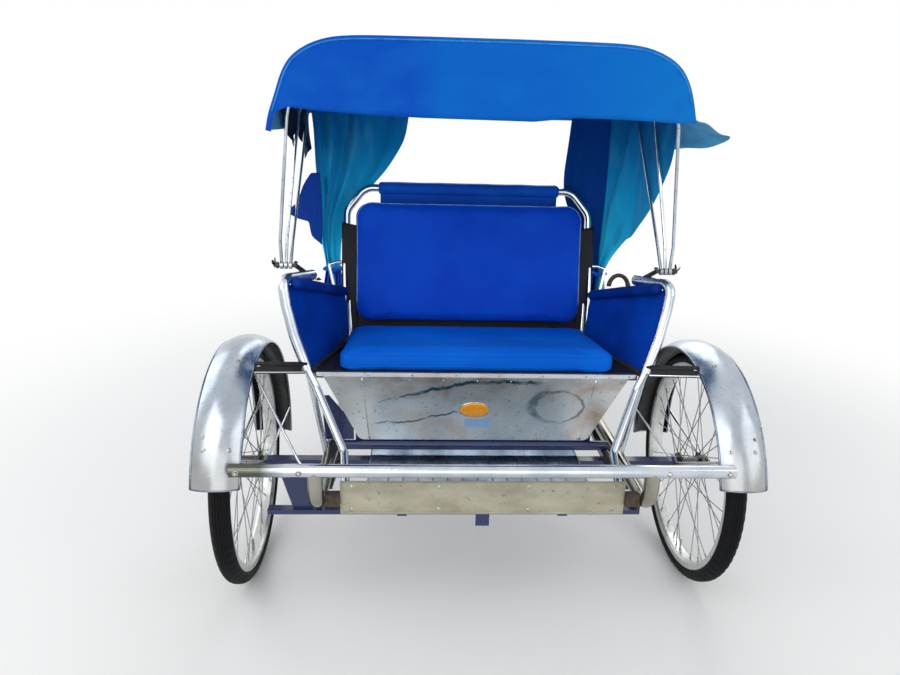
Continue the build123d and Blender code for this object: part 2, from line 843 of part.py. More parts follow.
# Hand brake: grip and lever before the saddle, pull rod outside the guard, fixed plate on the hub
lever_x = 30.0
pull_x = 70.0
lever_foot = (1040.0, 655.0)
lever_pivot = (1052.0, 700.0)
brake = barrel(10.0, pull_x + 4.0, 9.0, *lever_pivot)
brake += bent_rod([(lever_x, *lever_pivot), (lever_x, 1012, 900), (lever_x, 994, 985)], 5.0, 90.0)
brake += straight_rod((lever_x, 996, 972), (lever_x, 982, 1042), 11.0)
brake += straight_rod((pull_x, *lever_pivot), (pull_x, *lever_foot), 5.0)
brake += straight_rod((pull_x, *lever_foot), (62.0, wheelbase - 44.0, wheel_radius + 21.0), 3.0)
brake_plate = barrel(57.0, 59.5, drum_radius + 4.0, wheelbase, wheel_radius)
brake_plate -= barrel(55.0, 62.0, axle_radius + 0.1, wheelbase, wheel_radius)
parts["hand_brake"] = main_solid(brake + brake_plate - parts["seat_tube"])

# Saddle on its post
post = straight_rod((0, seat_tube_top_y, seat_tube_top_z), (0, 1138, saddle_z - 52), 12.0)
saddle_side = [(22, 1022), (38, 1130), (105, 1208), (98, 1282)]
saddle_plan = make_face(
    Polyline(*saddle_side, *[(-x, y) for x, y in reversed(saddle_side)], close=True)
)
saddle = Pos(0, 0, saddle_z - 50) * extrude(saddle_plan, amount=50)
parts["saddle"] = fillet(saddle.faces().sort_by(Axis.Z)[-1].edges(), 14)
parts["saddle_post"] = main_solid(post - parts["seat_tube"] - parts["saddle"])


def toothed_disc(pitch_radius, teeth, x_middle, y, z):
    """Sprocket: a disc with one tooth in each pitch of the chain."""
    tip = pitch_radius + 4.0
    root = pitch_radius - 3.5
    outline = []
    for tooth in range(teeth):
        # share of one pitch, radius
        for share, radius in ((0.0, root), (0.3, root), (0.5, tip), (0.7, root)):
            angle = 2 * math.pi * (tooth + share) / teeth
            outline.append((x_middle - 1.0, y + radius * math.cos(angle), z + radius * math.sin(angle)))
    return extrude(make_face(Polyline(*outline, close=True)), amount=2.0, dir=(1, 0, 0))


# Sprocket screwed on the rear hub's right end and brake drum on its left
sprocket = toothed_disc(sprocket_pitch_radius, sprocket_teeth, chain_x, wheelbase, wheel_radius)
sprocket += barrel(chain_x - 1, -hub_half_length, 22.0, wheelbase, wheel_radius)
drum = barrel(hub_half_length - 2, hub_half_length + 6, drum_radius, wheelbase, wheel_radius)
hub_bore = barrel(chain_x - 5, hub_half_length + 10, axle_radius + running_gap, wheelbase, wheel_radius)
parts["rear_sprocket"] = sprocket - hub_bore
parts["rear_wheel"] = main_solid(parts["rear_wheel"] + drum - hub_bore)

# Cranks with the chainring, left arm down and right arm up
crank = barrel(-crank_arm_x - 7, crank_arm_x + 7, axle_radius, bottom_bracket_y, bottom_bracket_z)
chainring = toothed_disc(
    chainring_pitch_radius, chainring_teeth, chain_x, bottom_bracket_y, bottom_bracket_z
)
crank += chainring
crank += barrel(chain_x - 1, chain_x + 8, 26.0, bottom_bracket_y, bottom_bracket_z)
for side in (-1, 1):
    arm_from = side * (crank_arm_x - 6)
    arm_to = side * (crank_arm_x + 6)
    tip_y = bottom_bracket_y - side * crank_length
    crank += barrel(arm_from, arm_to, 17.0, bottom_bracket_y, bottom_bracket_z)
    crank += barrel(arm_from, arm_to, 12.0, tip_y, bottom_bracket_z)
    crank += block(
        min(arm_from, arm_to),
        max(arm_from, arm_to),
        min(bottom_bracket_y, tip_y),
        max(bottom_bracket_y, tip_y),
        bottom_bracket_z - 10,
        bottom_bracket_z + 10,
    )
    pin_end = arm_to + side * pedal_pin_length
    crank += barrel(arm_to, pin_end, pedal_pin_radius, tip_y, bottom_bracket_z)
    x_near = arm_to + side * 6.0
    x_far = arm_to + side * 90.0
    pedal = Part()
    # y from and to, z half height of the two treads and the two end plates
    for y_from, y_to, z_half in ((-38.0, -22.0, 12.0), (22.0, 38.0, 12.0)):
        pedal += block(
            min(x_near, x_far),
            max(x_near, x_far),
            tip_y + y_from,
            tip_y + y_to,
            bottom_bracket_z - z_half,
            bottom_bracket_z + z_half,
        )
    for x in (x_near + side * 2.0, x_far - side * 2.0):
        pedal += block(x - 2, x + 2, tip_y - 30, tip_y + 30, bottom_bracket_z - 10, bottom_bracket_z + 10)
    pedal += barrel(x_near, x_far, 10.0, tip_y, bottom_bracket_z)
    bore_radius = pedal_pin_radius + running_gap
    pedal_bore = barrel(arm_to, pin_end + side * 10, bore_radius, tip_y, bottom_bracket_z)
    parts["pedal_" + ("left" if side > 0 else "right")] = pedal - pedal_bore
parts["crank"] = crank


def chain_loop():
    """Side plates of the chain as two closed loops, tied by rollers along both straight runs."""
    dy = wheelbase - bottom_bracket_y
    dz = wheel_radius - bottom_bracket_z
    base = math.atan2(dz, dy)
    distance = math.hypot(dy, dz)
    wrap_angle = math.acos((chainring_pitch_radius - sprocket_pitch_radius) / distance)

    def outline(grow):
        big = chainring_pitch_radius + grow
        small = sprocket_pitch_radius + grow

        def at(radius, angle, y, z):
            return (0, y + radius * math.cos(angle), z + radius * math.sin(angle))

        up_big = at(big, base + wrap_angle, bottom_bracket_y, bottom_bracket_z)
        low_big = at(big, base - wrap_angle, bottom_bracket_y, bottom_bracket_z)
        back_big = at(big, base + math.pi, bottom_bracket_y, bottom_bracket_z)
        up_small = at(small, base + wrap_angle, wheelbase, wheel_radius)
        low_small = at(small, base - wrap_angle, wheelbase, wheel_radius)
        front_small = at(small, base, wheelbase, wheel_radius)
        return make_face(
            [
                ThreePointArc(low_big, back_big, up_big),
                Line(up_big, up_small),
                ThreePointArc(up_small, front_small, low_small),
                Line(low_small, low_big),
            ]
        )

    plates = Part()
    ring = extrude(outline(4.0), amount=1.5, dir=(1, 0, 0))
    ring -= extrude(outline(-4.0), amount=1.5, dir=(1, 0, 0))
    for shift in (-3.8, 2.3):
        plates += Pos(chain_x + shift, 0, 0) * ring
    for way in (1, -1):
        angle = base + way * wrap_angle
        off_big = Vector(0, math.cos(angle), math.sin(angle)) * chainring_pitch_radius
        off_small = Vector(0, math.cos(angle), math.sin(angle)) * sprocket_pitch_radius
        start = Vector(chain_x, bottom_bracket_y, bottom_bracket_z) + off_big
        end = Vector(chain_x, wheelbase, wheel_radius) + off_small
        for share in (0.24, 0.43, 0.62, 0.81):
            centre = start * (1 - share) + end * share
            roller = Plane(origin=centre, x_dir=end - start, z_dir=(1, 0, 0)) * Box(4.5, 4.5, 6.0)
            plates += roller
    return plates


parts["chain"] = chain_loop()

# The front axle is at y = 0 above, and the finished vehicle is centred on its whole length
front_end_y = bumper_y - bumper_radius
rear_end_y = wheelbase + guard_crown_radius
centred = Pos(0, -(front_end_y + rear_end_y) / 2, 0)

os.makedirs("parts", exist_ok=True)
for name, shape in parts.items():
    export_step(centred * shape, "parts/" + name + ".step")
    print(name, len(shape.solids()), round(shape.volume))
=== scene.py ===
import math

import bmesh
import bpy
import numpy as np
from mathutils import Matrix, Vector, noise
from mathutils.bvhtree import BVHTree


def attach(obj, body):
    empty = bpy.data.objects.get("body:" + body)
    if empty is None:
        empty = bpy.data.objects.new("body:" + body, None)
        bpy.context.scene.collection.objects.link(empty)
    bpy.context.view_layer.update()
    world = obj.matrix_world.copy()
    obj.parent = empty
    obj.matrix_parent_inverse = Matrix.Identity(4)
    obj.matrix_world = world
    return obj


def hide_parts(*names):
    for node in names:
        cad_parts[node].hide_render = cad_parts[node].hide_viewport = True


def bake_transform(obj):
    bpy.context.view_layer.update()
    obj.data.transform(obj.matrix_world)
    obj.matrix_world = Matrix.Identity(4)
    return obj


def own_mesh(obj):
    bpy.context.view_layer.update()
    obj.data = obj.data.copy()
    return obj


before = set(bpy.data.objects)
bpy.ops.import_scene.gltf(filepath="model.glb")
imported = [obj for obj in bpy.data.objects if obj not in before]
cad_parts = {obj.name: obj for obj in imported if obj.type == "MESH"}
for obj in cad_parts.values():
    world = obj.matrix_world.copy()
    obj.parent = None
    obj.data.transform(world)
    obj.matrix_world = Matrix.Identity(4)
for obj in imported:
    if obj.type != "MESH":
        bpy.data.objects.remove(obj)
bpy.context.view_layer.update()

# Cycle rickshaw. Lengths are millimetres as on the drawing, with x across, y back from the front axle
# and z up from the floor, until made() or at() turns them into metres of the frame.
scene = bpy.context.scene
AXLE_Y = -745.5
WHEEL_R = 335.0
TRACK_HALF = 650.0
WHEELBASE = 1500.0
# the sign of x on each side, and the side's name as the rider sits
SIDES = ((1, "left"), (-1, "right"))


def at(x, y, z):
    """A point of the drawing, in the frame's metres."""
    return Vector((x, y + AXLE_Y, z)) / 1000.0


# Camera: eye height of a person standing before the vehicle, a little to its right
camera_data = bpy.data.cameras.new("street_view")
camera_data.sensor_width = 36.0
camera_data.lens = 28.0
camera = bpy.data.objects.new("street_view", camera_data)
scene.collection.objects.link(camera)
scene.camera = camera
camera_place = (-0.17, -2.595, 1.311)
yaw, pitch, roll = math.radians(2.9), math.radians(17.66), math.radians(1.57)
ahead = Vector((math.sin(yaw) * math.cos(pitch), math.cos(yaw) * math.cos(pitch), -math.sin(pitch)))
level = Vector((math.cos(yaw), -math.sin(yaw), 0.0))
upright = level.cross(ahead)
right = level * math.cos(roll) + upright * math.sin(roll)
up = upright * math.cos(roll) - level * math.sin(roll)
turn = Matrix((right, up, -ahead)).transposed()
camera.matrix_world = Matrix.Translation(camera_place) @ turn.to_4x4()

scene.view_settings.view_transform = "Standard"


# Materials
def tone(hex_colour):
    """An sRGB colour as the linear colour that shaders take."""
    parts = [int(hex_colour[i:i + 2], 16) / 255 for i in (1, 3, 5)]
    return [c / 12.92 if c <= 0.04045 else ((c + 0.055) / 1.055) ** 2.4 for c in parts] + [1.0]


def add(tree, kind, plugs=None, **settings):
    """One node; plugs are its inputs by name or number, each a value or another node's output."""
    node = tree.nodes.new("ShaderNode" + kind)
    for name, value in settings.items():
        setattr(node, name, value)
    for socket, value in (plugs or {}).items():
        if isinstance(value, bpy.types.NodeSocket):
            tree.links.new(value, node.inputs[socket])
        else:
            node.inputs[socket].default_value = value
    return node


def start(name, colour, roughness, metallic=0.0, **sockets):
    """A material with its shader joined to the output."""
    material = bpy.data.materials.new(name)
    material.use_nodes = True
    tree = material.node_tree
    tree.nodes.clear()
    plugs = {"Base Color": tone(colour), "Roughness": roughness, "Metallic": metallic}
    shader = add(tree, "BsdfPrincipled", plugs)
    for socket, value in sockets.items():
        shader.inputs[socket.replace("_", " ")].default_value = value
    add(tree, "OutputMaterial", {"Surface": shader.outputs[0]})
    return material, tree, shader


def own_place(tree, stretch=(1.0, 1.0, 1.0)):
    """The piece's own coordinates in metres, stretched where a pattern runs along the piece."""
    coordinates = add(tree, "TexCoord").outputs["Object"]
    if stretch == (1.0, 1.0, 1.0):
        return coordinates
    return add(tree, "Mapping", {"Vector": coordinates, "Scale": stretch}).outputs[0]


def patches(tree, size_mm, low, high, detail=3.0, stretch=(1.0, 1.0, 1.0), spread=0.6, warp=0.0):
    """Soft patches about size_mm across, from 0 to 1."""
    plugs = {"Vector": own_place(tree, stretch), "Scale": 1000.0 / size_mm}
    cloud = add(tree, "TexNoise", {**plugs, "Detail": detail, "Roughness": spread, "Distortion": warp})
    return add(tree, "MapRange", {"Value": cloud.outputs[0], "From Min": low, "From Max": high}).outputs[0]


def blend_tones(tree, shader, factor, first, second):
    """The shader's colour goes from one tone or socket to another with the factor."""
    sides = {}
    for number, side in ((6, first), (7, second)):
        sides[number] = tone(side) if isinstance(side, str) else side
    mixed = add(tree, "Mix", {0: factor, **sides}, data_type="RGBA").outputs[2]
    tree.links.new(mixed, shader.inputs["Base Color"])
    return mixed


def vary_roughness(tree, shader, factor, low, high):
    """Roughness from low to high with the factor."""
    spread = add(tree, "MapRange", {"Value": factor, "To Min": low, "To Max": high})
    tree.links.new(spread.outputs[0], shader.inputs["Roughness"])


def raise_relief(tree, shader, layers):
    """Stacked relief: each layer is a height socket and its depth in millimetres."""
    normal = None
    for height, depth_mm in layers:
        plugs = {"Height": height, "Distance": depth_mm / 1000.0, "Strength": 1.0}
        if normal:
            plugs["Normal"] = normal
        normal = add(tree, "Bump", plugs).outputs[0]
    tree.links.new(normal, shader.inputs["Normal"])


def thread_weave(tree, thread_mm):
    """Over and under of a plain weave on any face, from sines of the piece's own coordinates."""
    split = add(tree, "SeparateXYZ", {0: own_place(tree)})
    normal = add(tree, "SeparateXYZ", {0: add(tree, "TexCoord").outputs["Normal"]})
    radians_per_metre = math.pi * 1000.0 / thread_mm
    waves = []
    for axis in range(3):
        turns = add(tree, "Math", {0: split.outputs[axis], 1: radians_per_metre}, operation="MULTIPLY")
        waves.append(add(tree, "Math", {0: turns.outputs[0]}, operation="SINE").outputs[0])
    total = None
    for axis in range(3):
        pair = {0: waves[(axis + 1) % 3], 1: waves[(axis + 2) % 3]}
        crossing = add(tree, "Math", pair, operation="MULTIPLY").outputs[0]
        facing = add(tree, "Math", {0: normal.outputs[axis], 1: normal.outputs[axis]}, operation="MULTIPLY")
        share = add(tree, "Math", {0: crossing, 1: facing.outputs[0]}, operation="MULTIPLY").outputs[0]
        total = share if total is None else add(tree, "Math", {0: total, 1: share}).outputs[0]
    return total


def chromed_steel(name, bright, dull, rust_share=0.64, bare_end=None):
    """Drawn steel tube, polished and chrome plated: near mirror, misted by hands, pitted at its ends."""
    material, tree, shader = start(name, bright, 0.16, 1.0)
    mist = patches(tree, 90, 0.42, 0.7, stretch=(0.5, 0.5, 0.5))
    plated = blend_tones(tree, shader, mist, bright, dull)
    pits = patches(tree, 7, rust_share, rust_share + 0.07, detail=5)
    pitted = blend_tones(tree, shader, pits, plated, "#6F5A48")
    if bare_end:
        across = add(tree, "SeparateXYZ", {0: own_place(tree)}).outputs[0]
        plugs = {"Value": across, "From Min": bare_end[0], "From Max": bare_end[1]}
        blend_tones(tree, shader, add(tree, "MapRange", plugs).outputs[0], pitted, "#5B5E57")
    vary_roughness(tree, shader, mist, 0.1, 0.34)
    fine_pits = patches(tree, 5, 0.4, 0.8, detail=2)
    raise_relief(tree, shader, [(fine_pits, 0.05), (patches(tree, 60, 0.2, 0.8), 0.25)])
    return material


def stainless_sheet(name, bright, dull, wave_mm, depth_mm, streaks=(1.0, 1.0, 1.0), warp=0.6):
    """Stainless sheet, rolled, hammered to shape and buffed by hand: broad wavy reflections, painted into its
    colour and raised in its relief, with smears.
    """
    material, tree, shader = start(name, bright, 0.14, 1.0)
    # painted reflection: broad bright and dull bands in the colour, with smears
    reflection_film = patches(tree, wave_mm * 1.6, 0.4, 0.66, detail=4, stretch=streaks, warp=warp)
    reflections_and_smears = blend_tones(tree, shader, reflection_film, bright, dull)
    drops = patches(tree, 9, 0.62, 0.72, detail=2)
    blend_tones(tree, shader, drops, reflections_and_smears, "#9C9A93")
    vary_roughness(tree, shader, patches(tree, 45, 0.3, 0.75, detail=4), 0.07, 0.24)
    waves = patches(tree, wave_mm, 0.15, 0.85, detail=1.5, stretch=streaks)
    raise_relief(tree, shader, [(waves, depth_mm), (patches(tree, 4, 0.3, 0.8, detail=2), 0.03)])
    return material, tree, shader


def enamel(name, colour, worn, roughness=0.22, chips="#54483E"):
    """Brushed-on oil enamel over steel: glossy, a little uneven, chipped to the primer at edges."""
    material, tree, shader = start(name, colour, roughness, 0.0, Coat_Weight=0.35, Coat_Roughness=0.12)
    faded = blend_tones(tree, shader, patches(tree, 120, 0.35, 0.75, detail=4), colour, worn)
    chipped = patches(tree, 14, 0.69, 0.73, detail=6)
    blend_tones(tree, shader, chipped, faded, chips)
    vary_roughness(tree, shader, patches(tree, 40, 0.3, 0.8), roughness, roughness + 0.22)
    raise_relief(tree, shader, [(patches(tree, 26, 0.2, 0.8, detail=2), 0.35), (chipped, -0.08)])
    return material


def coated_canvas(name, first, second, lit_left_edge, weave_mm=3.4):
    """Cotton canvas with a pressed-on plastic face: flat blue, painted paler towards its lit left edge, faint
    weave, creased and sun-bleached.
    """
    material, tree, shader = start(name, first, 0.62, 0.0, Sheen_Weight=0.02, Specular_IOR_Level=0.06)
    across = add(tree, "SeparateXYZ", {0: own_place(tree)}).outputs[0]
    painted_light_across = first
    # painted light across the roof, in metres: where the second, paler tone comes in, and the palest one of
    # the lit left edge
    for begins, full, shade in ((-0.19, -0.11, second), (0.15, 0.62, lit_left_edge)):
        light_share = add(tree, "MapRange", {"Value": across, "From Min": begins, "From Max": full}).outputs[0]
        painted_light_across = blend_tones(tree, shader, light_share, painted_light_across, shade)
    dust = patches(tree, 130, 0.45, 0.8, detail=5, stretch=(1.0, 1.0, 1.8))
    faint = add(tree, "Math", {0: dust, 1: 0.35}, operation="MULTIPLY").outputs[0]
    blend_tones(tree, shader, faint, painted_light_across, "#1470C4")
    creases = patches(tree, 95, 0.2, 0.85, detail=3, stretch=(0.55, 1.0, 1.5), warp=0.8)
    # the real threads are under 1 mm apart, drawn coarser so that they show
    raise_relief(tree, shader, [(creases, 2.2), (thread_weave(tree, weave_mm), 0.16)])
    return material


# x where the painted shade of the joined curtain's folded inner part starts and is full, in metres
SHADED_PANEL_EDGE = (0.464, 0.46)


def thin_curtain(name, top, middle, low, top_z, low_z, bleached_share=0.4, weave_mm=3.0, shaded_panel_tone=None):
    """Thin woven polyester, dyed teal: its top painted darker for the shade under the roof, its lower part
    painted brighter where light comes through.
    """
    material, tree, shader = start(name, middle, 0.75, 0.0, Sheen_Weight=0.03, Specular_IOR_Level=0.05)
    height = add(tree, "SeparateXYZ", {0: own_place(tree)}).outputs[2]
    lit = middle
    # heights in metres where the painted shade of the top and the painted light of the lower part start and
    # are full
    for begins, full, shade in ((top_z - 0.16, top_z, top), (low_z + 0.4, low_z + 0.08, low)):
        level = add(tree, "MapRange", {"Value": height, "From Min": begins, "From Max": full}).outputs[0]
        lit = blend_tones(tree, shader, level, lit, shade)
    bleach = patches(tree, 70, 0.5, 0.82, detail=4, stretch=(1.6, 1.6, 0.5))
    faint = add(tree, "Math", {0: bleach, 1: bleached_share}, operation="MULTIPLY").outputs[0]
    faded = blend_tones(tree, shader, faint, lit, "#57B4D0")
    # the folded inner part of the joined curtain, painted navy as its shade
    if shaded_panel_tone:
        across = add(tree, "SeparateXYZ", {0: own_place(tree)}).outputs[0]
        plugs = {"Value": across, "From Min": SHADED_PANEL_EDGE[0], "From Max": SHADED_PANEL_EDGE[1]}
        blend_tones(tree, shader, add(tree, "MapRange", plugs).outputs[0], faded, shaded_panel_tone)
    folds = patches(tree, 38, 0.2, 0.8, detail=2, stretch=(1.4, 1.4, 0.4))
    raise_relief(tree, shader, [(folds, 1.6), (thread_weave(tree, weave_mm), 0.12)])
    return material


def seat_vinyl(name, colour, shade, light, grain_mm=2.6):
    """Upholstery vinyl embossed with a fine leather grain: deep blue, rubbed smoother where it is sat on."""
    material, tree, shader = start(name, colour, 0.5, 0.0, Specular_IOR_Level=0.07)
    shaded = blend_tones(tree, shader, patches(tree, 230, 0.35, 0.7, detail=2), colour, shade)
    rubbed = patches(tree, 150, 0.52, 0.85, detail=4, stretch=(0.7, 1.0, 1.0))
    faint = add(tree, "Math", {0: rubbed, 1: 0.55}, operation="MULTIPLY").outputs[0]
    blend_tones(tree, shader, faint, shaded, light)
    vary_roughness(tree, shader, rubbed, 0.55, 0.42)
    plugs = {"Vector": own_place(tree), "Scale": 1000.0 / grain_mm}
    cells = add(tree, "TexVoronoi", plugs, feature="DISTANCE_TO_EDGE")
    pulls = patches(tree, 85, 0.2, 0.8, detail=2, stretch=(0.45, 1.0, 1.0))
    # the real grain is about 1 mm, drawn coarser so that it shows
    raise_relief(tree, shader, [(pulls, 2.4), (cells.outputs[0], 0.14)])
    return material


def out_from_axle(tree, axle_y):
    """The way from a wheel's axle out to the surface, in metres, square to the axle."""
    to_axle = (0.0, -(axle_y + AXLE_Y) / 1000.0, -WHEEL_R / 1000.0)
    shifted = add(tree, "VectorMath", {0: own_place(tree), 1: to_axle}, operation="ADD").outputs[0]
    return add(tree, "VectorMath", {0: shifted, 1: (0.0, 1.0, 1.0)}, operation="MULTIPLY").outputs[0]


# metres out from the axle: where the spokes end in the rim, and where the hub's grease ends and is full
RIM_STARTS, RIM_FULL = 0.277, 0.281
GREASE_ENDS, GREASE_FULL = 0.07, 0.034


def wheel_steel(name, axle_y):
    """Rim rolled from zinc-plated strip, dull grey-white, with drawn spokes and a greasy turned hub."""
    material, tree, shader = start(name, "#C3C6C4", 0.3, 0.9)
    reach = add(tree, "VectorMath", {0: out_from_axle(tree, axle_y)}, operation="LENGTH").outputs["Value"]
    zinc = blend_tones(tree, shader, patches(tree, 26, 0.45, 0.75, detail=4), "#D6D8D5", "#B9BDBC")
    drawn = add(tree, "MapRange", {"Value": reach, "From Min": RIM_STARTS, "From Max": RIM_FULL}).outputs[0]
    spokes_and_rim = blend_tones(tree, shader, drawn, "#8F9496", zinc)
    plugs = {"Value": reach, "From Min": GREASE_ENDS, "From Max": GREASE_FULL}
    grease = add(tree, "MapRange", plugs).outputs[0]
    hub_tone = blend_tones(tree, shader, grease, spokes_and_rim, "#5F5F5C")
    rust = patches(tree, 9, 0.7, 0.76, detail=5)
    blend_tones(tree, shader, rust, hub_tone, "#6B4A34")
    vary_roughness(tree, shader, patches(tree, 30, 0.3, 0.8, detail=4), 0.22, 0.5)
    raise_relief(tree, shader, [(patches(tree, 3, 0.3, 0.8), 0.04)])
    return material


def tyre_rubber():
    """Moulded natural rubber: near black, matt, greyed by road dust low in the tread and on the walls."""
    material, tree, shader = start("moulded_tyre_rubber", "#07080B", 0.8, 0.0, Specular_IOR_Level=0.15)
    dust = patches(tree, 34, 0.5, 0.8, detail=5)
    faint = add(tree, "Math", {0: dust, 1: 0.5}, operation="MULTIPLY").outputs[0]
    blend_tones(tree, shader, faint, "#07080C", "#201F1E")
    vary_roughness(tree, shader, dust, 0.6, 0.85)
    raise_relief(tree, shader, [(patches(tree, 3.2, 0.3, 0.75, detail=3), 0.12)])
    return material


def guard_paint(name, axle_y, strap_from):
    """A mudguard's stainless sheet with a painted reflection of the road low down, black underneath; its
    strap to the arm is painted black too.
    """
    material, tree, shader = stainless_sheet(name, "#B4BEC9", "#9AA4AF", 105, 0.9)
    polished = shader.inputs["Base Color"].links[0].from_socket
    place = add(tree, "SeparateXYZ", {0: own_place(tree)})
    # painted reflection of the road: warmer from 0.62 m down to 0.45 m, where the guard faces it
    plugs = {"Value": place.outputs[2], "From Min": 0.62, "From Max": 0.45}
    low_share = add(tree, "MapRange", plugs).outputs[0]
    warm = add(tree, "Math", {0: low_share, 1: 0.6}, operation="MULTIPLY").outputs[0]
    with_road_reflection = blend_tones(tree, shader, warm, polished, "#A39E93")
    outward = add(tree, "VectorMath", {0: out_from_axle(tree, axle_y)}, operation="NORMALIZE").outputs[0]
    normal = add(tree, "TexCoord").outputs["Normal"]
    facing = add(tree, "VectorMath", {0: outward, 1: normal}, operation="DOT_PRODUCT").outputs["Value"]
    under = add(tree, "Math", {0: facing, 1: -0.15}, operation="LESS_THAN").outputs[0]
    off_middle = add(tree, "Math", {0: place.outputs[0]}, operation="ABSOLUTE").outputs[0]
    strap = add(tree, "Math", {0: off_middle, 1: strap_from}, operation="LESS_THAN").outputs[0]
    painted = add(tree, "Math", {0: under, 1: strap}, operation="MAXIMUM").outputs[0]
    blend_tones(tree, shader, painted, with_road_reflection, "#15161A")
    bare = add(tree, "Math", {0: 1.0, 1: painted}, operation="SUBTRACT").outputs[0]
    tree.links.new(bare, shader.inputs["Metallic"])
    vary_roughness(tree, shader, patches(tree, 60, 0.3, 0.75, detail=4), 0.2, 0.36)
    return material


def mirrored_apron():
    """The apron's rolled and wiped sheet: pale, with the kerb's dark lines painted into it as reflections,
    long wavy streaks.
    """
    material, tree, shader = stainless_sheet(
        "polished_apron_sheet", "#D9DEE1", "#C3CBD0", 160, 0.35, streaks=(0.5, 1.0, 1.0), warp=0.8
    )
    reflection_film = shader.inputs["Base Color"].links[0].from_socket
    warm = patches(tree, 120, 0.55, 0.75, detail=3, stretch=(0.7, 1.0, 1.2), warp=0.8)
    fields = blend_tones(tree, shader, warm, reflection_film, "#C9B8AC")
    place = add(tree, "SeparateXYZ", {0: own_place(tree)})
    across, height = place.outputs[0], place.outputs[2]
    sway = patches(tree, 52, 0.0, 1.0, stretch=(1.0, 0.0, 0.0))
    painted_reflections = None
    # each painted reflection streak: x and z where it starts and stops climbing, its two ends in x and its
    # half width, all in metres
    for climb, ends, half_width in (
        ((-0.27, -0.02, 0.530, 0.594), (-0.19, 0.19), 0.0075),
        ((-0.27, -0.02, 0.530, 0.594), (-0.28, -0.1), 0.0032),
        ((-0.19, -0.06, 0.462, 0.497), (-0.29, -0.04), 0.0036),
    ):
        limits = dict(zip(("From Min", "From Max", "To Min", "To Max"), climb))
        level = add(tree, "MapRange", {"Value": across, **limits}).outputs[0]
        swayed = add(tree, "Math", {0: sway, 1: 0.03, 2: level}, operation="MULTIPLY_ADD").outputs[0]
        gap = add(tree, "Math", {0: height, 1: swayed}, operation="SUBTRACT").outputs[0]
        nearness = add(tree, "Math", {0: gap}, operation="ABSOLUTE").outputs[0]
        plugs = {"Value": nearness, "From Min": half_width, "From Max": half_width * 0.4}
        line = add(tree, "MapRange", plugs).outputs[0]
        from_middle = add(tree, "Math", {0: across, 1: sum(ends) / 2}, operation="SUBTRACT").outputs[0]
        reach = add(tree, "Math", {0: from_middle}, operation="ABSOLUTE").outputs[0]
        half_length = (ends[1] - ends[0]) / 2
        plugs = {"Value": reach, "From Min": half_length, "From Max": half_length * 0.8}
        inside = add(tree, "MapRange", plugs).outputs[0]
        reflection_line = add(tree, "Math", {0: line, 1: inside}, operation="MULTIPLY").outputs[0]
        if painted_reflections is not None:
            reflection_line = add(tree, "Math", {0: painted_reflections, 1: reflection_line}, operation="MAXIMUM").outputs[0]
        painted_reflections = reflection_line
    # the ring on the vehicle's left: a painted reflection closed on itself, thicker on its inner side
    to_centre = (-0.232, 0.0, -0.531)
    from_centre = add(tree, "VectorMath", {0: own_place(tree), 1: to_centre}, operation="ADD").outputs[0]
    shaped = add(tree, "VectorMath", {0: from_centre, 1: (14.0, 0.0, 19.0)}, operation="MULTIPLY").outputs[0]
    distance = add(tree, "VectorMath", {0: shaped}, operation="LENGTH").outputs["Value"]
    bends = patches(tree, 60, 0.0, 1.0)
    uneven = add(tree, "Math", {0: bends, 1: 0.5, 2: distance}, operation="MULTIPLY_ADD").outputs[0]
    off_ring = add(tree, "Math", {0: uneven, 1: 1.25}, operation="SUBTRACT").outputs[0]
    ring_gap = add(tree, "Math", {0: off_ring}, operation="ABSOLUTE").outputs[0]
    plugs = {"Value": across, "From Min": 0.16, "From Max": 0.24, "To Min": 0.24, "To Max": 0.07}
    line_width = add(tree, "MapRange", plugs).outputs[0]
    ring = add(tree, "Math", {0: ring_gap, 1: line_width}, operation="DIVIDE").outputs[0]
    plugs = {"Value": ring, "From Min": 1.0, "From Max": 0.4, "To Max": 0.7}
    ring_reflection = add(tree, "MapRange", plugs).outputs[0]
    painted_reflections = add(tree, "Math", {0: painted_reflections, 1: ring_reflection}, operation="MAXIMUM").outputs[0]
    breaks = patches(tree, 55, 0.25, 0.5, detail=2)
    broken_reflections = add(tree, "Math", {0: painted_reflections, 1: breaks}, operation="MULTIPLY").outputs[0]
    # the painted reflections, dark teal, broken here and there
    blend_tones(tree, shader, broken_reflections, fields, "#356677")
    vary_roughness(tree, shader, patches(tree, 45, 0.3, 0.75, detail=4), 0.26, 0.42)
    return material


def number_plate():
    """Stamped aluminium plate, painted a warm pale grey long ago and rubbed dull: blank."""
    material, tree, shader = start("painted_plate", "#A8A490", 0.5, 0.25)
    rubbed = patches(tree, 60, 0.35, 0.7, detail=5, stretch=(0.5, 1, 1))
    worn = blend_tones(tree, shader, rubbed, "#B2AE9C", "#96917C")
    blend_tones(tree, shader, patches(tree, 12, 0.62, 0.72, detail=5), worn, "#7A6F5C")
    vary_roughness(tree, shader, patches(tree, 30, 0.3, 0.8), 0.35, 0.6)
    raise_relief(tree, shader, [(patches(tree, 22, 0.25, 0.8, detail=3), 0.4)])
    return material


def oiled_chain_steel():
    """Pressed link plates and rollers of carbon steel, dark with oil that has caught dust."""
    material, tree, shader = start("oiled_chain_steel", "#6C675F", 0.38, 0.85)
    oil = patches(tree, 11, 0.4, 0.68, detail=4)
    blend_tones(tree, shader, oil, "#857F75", "#2C2824")
    vary_roughness(tree, shader, oil, 0.26, 0.55)
    raise_relief(tree, shader, [(patches(tree, 2.5, 0.3, 0.8), 0.05)])
    return material


